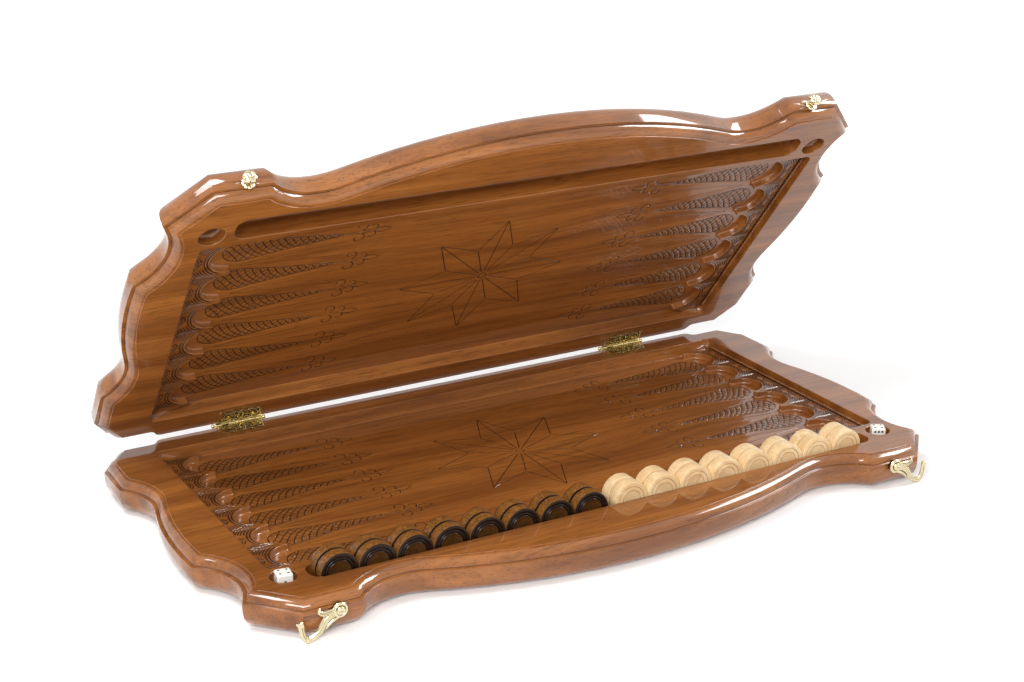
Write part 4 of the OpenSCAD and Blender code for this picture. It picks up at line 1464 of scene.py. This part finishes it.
# Raised ribs on a hook's front: paths in its plane with a radius and a lift above the limbs
HOOK_RIBS = [
    ([(4.6, 2.9), (9, 3.3), (13, 2.5), (18.5, 0.0), (24, -0.5), (28, 0.4)], 0.6, 0.25),
    ([(4.6, 0.0), (9, 0.6), (13, -0.2), (18, -2.2), (23.5, -2.8)], 0.55, 0.2),
    ([(3.6, 5.0), (7.0, 6.8), (9.6, 8.8), (10.4, 10.8)], 0.65, 0.4),
    ([(5.6, 3.2), (9.0, 5.2), (11.2, 7.6), (12.0, 9.8)], 0.55, 0.3),
    ([(3.8, -2.8), (8.5, -2.1), (12.3, -2.3)], 0.55, 0.1),
    ([(29.6, 1.5), (28.9, 6.0), (26.6, 11.0)], 0.5, 0.25),
    ([(28.2, 2.5), (27.4, 6.4), (25.2, 10.4)], 0.45, 0.25),
]


def cast_hook(name):
    """A cast hook in its own frame and in millimetres, of limbs and ribs that are fused and smoothed."""
    bm = bmesh.new()
    rows = []
    for turn in np.linspace(0, 2 * math.pi, HOOK_EYE_SIDES, endpoint=False):
        rows.append([bm.verts.new((r * math.cos(turn), r * math.sin(turn), z)) for r, z in HOOK_EYE])
    for i in range(HOOK_EYE_SIDES):
        for k in range(len(HOOK_EYE)):
            bm.faces.new([rows[i - 1][k - 1], rows[i][k - 1], rows[i][k], rows[i - 1][k]])
    for path, widths in HOOK_LIMBS:
        line = smooth_path(path, 5)
        wide = np.interp(np.linspace(0, 1, len(line)), np.linspace(0, 1, len(widths)), widths)
        halves = [(w, min(HOOK_T / 2, 0.75 * w + 0.3)) for w in wide]
        tube(bm, [(x, y, HOOK_T / 2) for x, y in line], halves)
    for path, radius, lift in HOOK_RIBS:
        line = smooth_path(path, 5)
        height = HOOK_T - radius + lift
        tube(bm, [(x, y, height) for x, y in line], [(radius, radius)] * len(line), 10)
    ball = bmesh.ops.create_icosphere(bm, subdivisions=3, radius=HOOK_BALL)["verts"]
    bmesh.ops.translate(bm, verts=ball, vec=(*HOOK_TIP, HOOK_T / 2))
    bmesh.ops.recalc_face_normals(bm, faces=bm.faces[:])
    carrier = bpy.data.objects.new("casting", plain_mesh(name, bm))
    bpy.context.scene.collection.objects.link(carrier)
    fused = carrier.modifiers.new("Fuse", "REMESH")
    fused.mode = "VOXEL"
    fused.voxel_size = HOOK_VOXEL
    soft = carrier.modifiers.new("Soften", "SMOOTH")
    soft.factor = 0.5
    soft.iterations = 4
    apply_modifiers(carrier)
    mesh = carrier.data
    bpy.data.objects.remove(carrier)
    mark_hollows(mesh, 2.2, 6)
    return mesh


class BOARD_OT_fit_hooks(bpy.types.Operator):
    """Fit the cast hooks, and finish their screws and washers"""

    bl_idname = "board.fit_hooks"
    bl_label = "Fit hooks"

    def execute(self, context):
        for side, sign in SIDES.items():
            name = f"hook_{side}_cast"
            seat = flat_place(sign) @ Matrix.Scale(MM, 4) @ Matrix.Translation((0, 0, HOOK_BACK))
            piece(name, cast_hook(name), bright_brass(), seat @ Matrix.Rotation(HOOK_HANG, 4, "Z"),
                  f"hook_{side}", [f"hook_{side}"])
            finish_node(f"hook_screw_{side}", bright_brass())
            finish_node(f"hook_washer_{side}", black_washer())
        return {"FINISHED"}


# Knobs: profile from the foot up, then the petals of the head and the lobes of the foot
KNOB_PROFILE = [
    (0.0, -2.0), (1.8, -2.0), (1.8, 0.0), (4.6, 0.05), (4.9, 0.7), (4.4, 1.4), (3.0, 1.8), (1.9, 2.0),
    (1.85, 2.6), (1.85, 4.3), (2.2, 4.75), (3.6, 4.95), (4.7, 5.6), (5.15, 6.5), (5.15, 7.3), (4.8, 8.2),
    (4.1, 8.9), (3.1, 9.4), (2.4, 9.5), (2.15, 9.3), (1.9, 9.5), (1.5, 9.95), (0.8, 10.15), (0.0, 10.2)]
KNOB_SIDES = 96
KNOB_WELD = 1e-4
KNOB_PETALS = 6
PETAL_FROM = 4.75
PETAL_TO = 9.5
PETAL_CUT = 0.3
PETAL_TWIST = 0.1
FOOT_LOBES = 8
FOOT_TOP = 1.9
FOOT_CUT = 0.15


def petal_share(turn, count):
    """1 on the middle of each of some petals round an axis, 0 between two of them."""
    return abs(math.cos(turn * count / 2)) ** 0.6


def rosette_knob(name):
    """A knob with a petalled head and foot, in its own frame and in millimetres."""
    bm = bmesh.new()
    profile = smooth_path(KNOB_PROFILE, 2)
    turns = np.linspace(0, 2 * math.pi, KNOB_SIDES, endpoint=False)
    rows = []
    for r, z in profile:
        head = math.sin(math.pi * min(max((z - PETAL_FROM) / (PETAL_TO - PETAL_FROM), 0), 1))
        foot = 1.0 if 0 < z < FOOT_TOP else 0.0
        row = []
        for turn in turns:
            petal = 1 - petal_share(turn + PETAL_TWIST * (z - PETAL_FROM), KNOB_PETALS)
            lobe = 1 - petal_share(turn, FOOT_LOBES)
            reach = r * (1 - PETAL_CUT * head * petal - FOOT_CUT * foot * lobe)
            row.append(bm.verts.new((reach * math.cos(turn), reach * math.sin(turn), z)))
        rows.append(row)
    for low, high in zip(rows, rows[1:]):
        for i in range(len(turns)):
            bm.faces.new([low[i - 1], low[i], high[i], high[i - 1]])
    bmesh.ops.remove_doubles(bm, verts=bm.verts[:], dist=KNOB_WELD)
    bmesh.ops.recalc_face_normals(bm, faces=bm.faces[:])
    mesh = plain_mesh(name, bm)
    mark_hollows(mesh, 0.9, 1)
    return mesh


class BOARD_OT_fit_knobs(bpy.types.Operator):
    """Fit the catch knobs on the lid"""

    bl_idname = "board.fit_knobs"
    bl_label = "Fit knobs"

    def execute(self, context):
        for side, sign in SIDES.items():
            name = f"catch_knob_{side}_rosette"
            place = LID_PLACE @ flat_place(sign) @ Matrix.Scale(MM, 4)
            piece(name, rosette_knob(name), bright_brass(), place, "lid",
                  [f"catch_knob_{side}"])
        return {"FINISHED"}


# Dice: places of the pips on each face, width, rounding, and step, radius and depth of the pips
PIPS = {
    1: [(0, 0)],
    2: [(-1, 1), (1, -1)],
    3: [(-1, 1), (0, 0), (1, -1)],
    4: [(-1, -1), (-1, 1), (1, -1), (1, 1)],
    5: [(-1, -1), (-1, 1), (1, -1), (1, 1), (0, 0)],
    6: [(-1, -1), (-1, 1), (0, -1), (0, 1), (1, -1), (1, 1)],
}
DIE_W = 11.0
DIE_ROUND = 1.35
PIP_STEP = 2.75
PIP_R = 0.98
PIP_DEPTH = 0.4
# Faces of each die: top, bottom, front, back, left, right; and its turn
DICE = {"left": ((4, 3, 1, 6, 5, 2), math.radians(-8)), "right": ((4, 3, 6, 1, 5, 2), math.radians(-29))}
# Turns that bring each face to the top
FACE_UP = [Matrix.Identity(4), Matrix.Rotation(math.pi, 4, "X"), Matrix.Rotation(-math.pi / 2, 4, "X"),
           Matrix.Rotation(math.pi / 2, 4, "X"), Matrix.Rotation(math.pi / 2, 4, "Y"),
           Matrix.Rotation(-math.pi / 2, 4, "Y")]


def die_solid(counts):
    """A rounded die with a dent for every pip, about the origin."""
    bm = bmesh.new()
    bmesh.ops.create_cube(bm, size=DIE_W * MM)
    bmesh.ops.bevel(bm, geom=bm.edges[:], offset=DIE_ROUND * MM, segments=5, profile=0.5, affect="EDGES")
    bm.verts.layers.float.new("carved")
    for count, turn in zip(counts, FACE_UP):
        bm.transform(turn)
        bm.normal_update()
        face = level_faces(bm, DIE_W / 2 * MM)
        loops = outline_loops(face)
        bmesh.ops.delete(bm, geom=face, context="FACES_ONLY")
        spots = [(x * PIP_STEP, y * PIP_STEP) for x, y in PIPS[count]]
        fill_level(bm, loops, [Dent(spot, PIP_R, PIP_DEPTH) for spot in spots])
        bm.transform(turn.inverted())
    bm.normal_update()
    return bm


class BOARD_OT_place_dice(bpy.types.Operator):
    """Place a die in each corner hole of the base"""

    bl_idname = "board.place_dice"
    bl_label = "Place dice"

    def execute(self, context):
        for side, (counts, turn) in DICE.items():
            low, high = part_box(f"die_{side}")
            place = Matrix.Translation((low + high) / 2) @ Matrix.Rotation(turn, 4, "Z")
            node = f"die_{side}"
            mesh = plain_mesh(f"{node}_pipped", die_solid(counts))
            piece(f"{node}_pipped", mesh, dice_ivory(), place, node, [node], True)
        return {"FINISHED"}


CHECKER_R = 13.85
CHECKER_T = 10.0
CHECKER_SIDES = 72
# What a turned checker is short of its room in the rack
SEAM = 0.45
# Turned faces of the checkers from the middle outwards: distance from the axis, depth below the face
CHECKER_FACES = {
    "dark": [
        (0, 2.3), (2, 2.22), (4, 1.95), (5.8, 1.5), (7.0, 1.0), (7.7, 0.6), (8.05, 0.35), (8.4, 0.3),
        (8.7, 0.5), (8.9, 0.95), (9.1, 0.95), (9.3, 0.5), (9.7, 0.25), (10.1, 0.25), (10.5, 0.5),
        (10.7, 1.0), (10.95, 1.0), (11.15, 0.5), (11.6, 0.12), (12.2, 0), (12.8, 0.08), (13.35, 0.2),
        (13.7, 0.45), (13.85, 0.8)],
    "light": [
        (0, 0.95), (2.5, 0.9), (4.8, 0.72), (6.3, 0.42), (6.9, 0.22), (7.1, 0.2), (7.25, 0.5), (7.4, 0.5),
        (7.6, 0.14), (8.3, 0.05), (9.2, 0.05), (10.1, 0.12), (10.3, 0.5), (10.45, 0.5), (10.65, 0.08),
        (11.3, 0), (12.9, 0), (13.4, 0.06), (13.7, 0.22), (13.85, 0.55)],
}


def checker_profile(face):
    """A checker's whole profile as shares of its radius and thickness, from the bottom of its axis."""
    down = [(r / CHECKER_R, d / CHECKER_T) for r, d in face]
    return down + [(r, 1 - d) for r, d in reversed(down)]


class BOARD_OT_turn_checkers(bpy.types.Operator):
    """Turn the checkers and stand them in the rack"""

    bl_idname = "board.turn_checkers"
    bl_label = "Turn checkers"

    def execute(self, context):
        trees = {kind: turned_tree(f"{kind.title()} checker", checker_profile(face))
                 for kind, face in CHECKER_FACES.items()}
        looks = {"dark": (burl_wood(), "dark_burl"), "light": (cream_wood(), "pale_wood")}
        draw = np.random.default_rng(CHECKER_SEED)
        for node in CHECKERS:
            kind = node.split("_")[0]
            material, slot = looks[kind]
            low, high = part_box(node)
            spin = Matrix.Rotation(draw.uniform(0, 2 * math.pi), 4, "Z")
            mesh = turned_row(
                trees[kind], Radius=(high.x - low.x) / 2, Length=high.y - low.y - SEAM * MM,
                Segments=CHECKER_SIDES, Count=1, Pitch=(0, 0, 0), Turn=(0, 0, 0), Material=material)
            turned = vectors(mesh.attributes["turned"].data, "vector")
            store_vectors(mesh, "figure", turned + draw.uniform(-0.2, 0.2, 3))
            middle = (low + high) / 2
            seat = Matrix.Translation((middle.x, high.y - SEAM * MM / 2, middle.z))
            stand = seat @ Matrix.Rotation(math.pi / 2, 4, "X")
            mesh.transform(stand @ spin)
            piece(f"{node}_turned", mesh, material, None, node, [node])
        return {"FINISHED"}


FLOOR_SIZE = 12.0
# The floor's own white for the camera, near the board and beyond it
GLOW_NEAR = 0.1
GLOW_FAR = 0.75
GLOW_REACH = (0.42, 1.2)
AIM = Vector((0.0, 0.0, 0.1))
# Soft lights and cards that only show in the gloss: place and size
LAMPS = {
    "key": ((-1.15, -1.5, 1.15), (0.9, 0.7)),
    "side": ((1.35, -0.35, 1.1), (0.6, 0.5)),
    "top": ((-0.8, 0.05, 1.5), (0.6, 0.45)),
}
CARDS = {"left card": (-0.85, 0.0, 1.45), "right card": (1.34, -0.15, 1.05)}
CARD_SIZE = (0.9, 0.65)
SENSOR = 36.0


def seen_rays(tree):
    """1 for rays that show a surface to the camera, straight or in a gloss, 0 for rays that light."""
    rays = put(tree, "ShaderNodeLightPath").outputs
    straight = maths(tree, "MAXIMUM", rays["Is Camera Ray"], rays["Is Glossy Ray"])
    return maths(tree, "MAXIMUM", straight, rays["Is Transmission Ray"])


def studio_floor():
    """A plain white floor that keeps the board's shadow."""
    made, tree, shader = new_material("studio_floor", **{"Roughness": 0.9, "Specular IOR Level": 0.1})
    place = put(tree, "ShaderNodeTexCoord").outputs["Object"]
    tone = span(tree, noise(tree, place, 3.0, 2.0), 0.0, 1.0)
    white = blend(tree, tone, (0.93, 0.93, 0.93, 1), (0.95, 0.95, 0.95, 1))
    tree.links.new(white, shader.inputs["Base Color"])
    shader.inputs["Emission Color"].default_value = (1, 1, 1, 1)
    away = put(tree, "ShaderNodeVectorMath", {0: place}, operation="LENGTH").outputs["Value"]
    glow = maths(tree, "MULTIPLY_ADD", span(tree, away, *GLOW_REACH), GLOW_FAR - GLOW_NEAR, GLOW_NEAR)
    tree.links.new(maths(tree, "MULTIPLY", seen_rays(tree), glow), shader.inputs["Emission Strength"])
    return made


def soft_light(name, place, size, power):
    """A soft rectangular light that faces the board."""
    data = bpy.data.lights.new(name, "AREA")
    data.shape = "RECTANGLE"
    data.size, data.size_y = size
    data.energy = power
    obj = bpy.data.objects.new(name, data)
    obj.location = place
    obj.rotation_euler = (AIM - Vector(place)).to_track_quat("-Z", "Y").to_euler()
    bpy.context.scene.collection.objects.link(obj)
    return obj


class BOARD_OT_set_stage(bpy.types.Operator):
    """Set the floor, the light and the camera"""

    bl_idname = "board.set_stage"
    bl_label = "Set stage"

    def execute(self, context):
        scene = context.scene
        studio = scene.board_studio
        bm = bmesh.new()
        bmesh.ops.create_grid(bm, x_segments=1, y_segments=1, size=FLOOR_SIZE / 2)
        floor = bpy.data.objects.new("studio_floor", plain_mesh("studio_floor", bm))
        floor.location.z = CAD_BOX[0].z
        floor.data.materials.append(studio_floor())
        scene.collection.objects.link(floor)
        world = bpy.data.worlds.new("studio")
        scene.world = world
        world.use_nodes = True
        tree = world.node_tree
        tree.nodes.clear()
        strength = put(tree, "ShaderNodeMix", {0: seen_rays(tree), 2: studio.ambient, 3: 1.0}).outputs[0]
        sky = put(tree, "ShaderNodeBackground", {"Color": (1, 1, 1, 1), "Strength": strength})
        put(tree, "ShaderNodeOutputWorld", {"Surface": sky.outputs[0]})
        for name, (place, size) in LAMPS.items():
            soft_light(name, place, size, getattr(studio, name))
        for name, place in CARDS.items():
            soft_light(name, place, CARD_SIZE, studio.card).visible_diffuse = False
        camera = bpy.data.cameras.new("studio_camera")
        camera.sensor_width = SENSOR
        camera.lens = studio.lens
        camera.clip_start = 0.01
        holder = bpy.data.objects.new("studio_camera", camera)
        turn = (Matrix.Rotation(-studio.yaw, 4, "Z") @ Matrix.Rotation(math.pi / 2 - studio.pitch, 4, "X")
                @ Matrix.Rotation(studio.roll, 4, "Z"))
        holder.matrix_world = Matrix.Translation(studio.eye) @ turn
        scene.collection.objects.link(holder)
        scene.camera = holder
        scene.view_settings.view_transform = "Standard"
        return {"FINISHED"}


class BOARD_PT_build(bpy.types.Panel):
    """Steps that dress the board"""

    bl_label = "Carved board"
    bl_space_type = "VIEW_3D"
    bl_region_type = "UI"
    bl_category = "Board"

    def draw(self, context):
        for step in STEPS:
            self.layout.operator(step.bl_idname)
        for name in LOOKS:
            box = self.layout.box()
            group = getattr(context.scene, name)
            for key in group.bl_rna.properties.keys():
                if key not in ("rna_type", "name"):
                    box.prop(group, key)


STEPS = (
    BOARD_OT_set_stage, BOARD_OT_carve_halves, BOARD_OT_lay_ropes, BOARD_OT_fit_hinges, BOARD_OT_fit_hooks,
    BOARD_OT_fit_knobs, BOARD_OT_place_dice, BOARD_OT_turn_checkers)
LOOKS = {
    "board_wood": WoodFinish, "board_carving": CarvingSizes, "board_metal": MetalFinish,
    "board_pieces": PieceFinish, "board_studio": StudioSettings}
CLASSES = (*LOOKS.values(), *STEPS, BOARD_PT_build)


def register():
    for cls in CLASSES:
        bpy.utils.register_class(cls)
    for name, group in LOOKS.items():
        setattr(bpy.types.Scene, name, PointerProperty(type=group))


def unregister():
    for name in LOOKS:
        delattr(bpy.types.Scene, name)
    for cls in reversed(CLASSES):
        bpy.utils.unregister_class(cls)


def main():
    register()
    for step in STEPS:
        category, name = step.bl_idname.split(".")
        getattr(getattr(bpy.ops, category), name)()


if __name__ == "__main__":
    main()
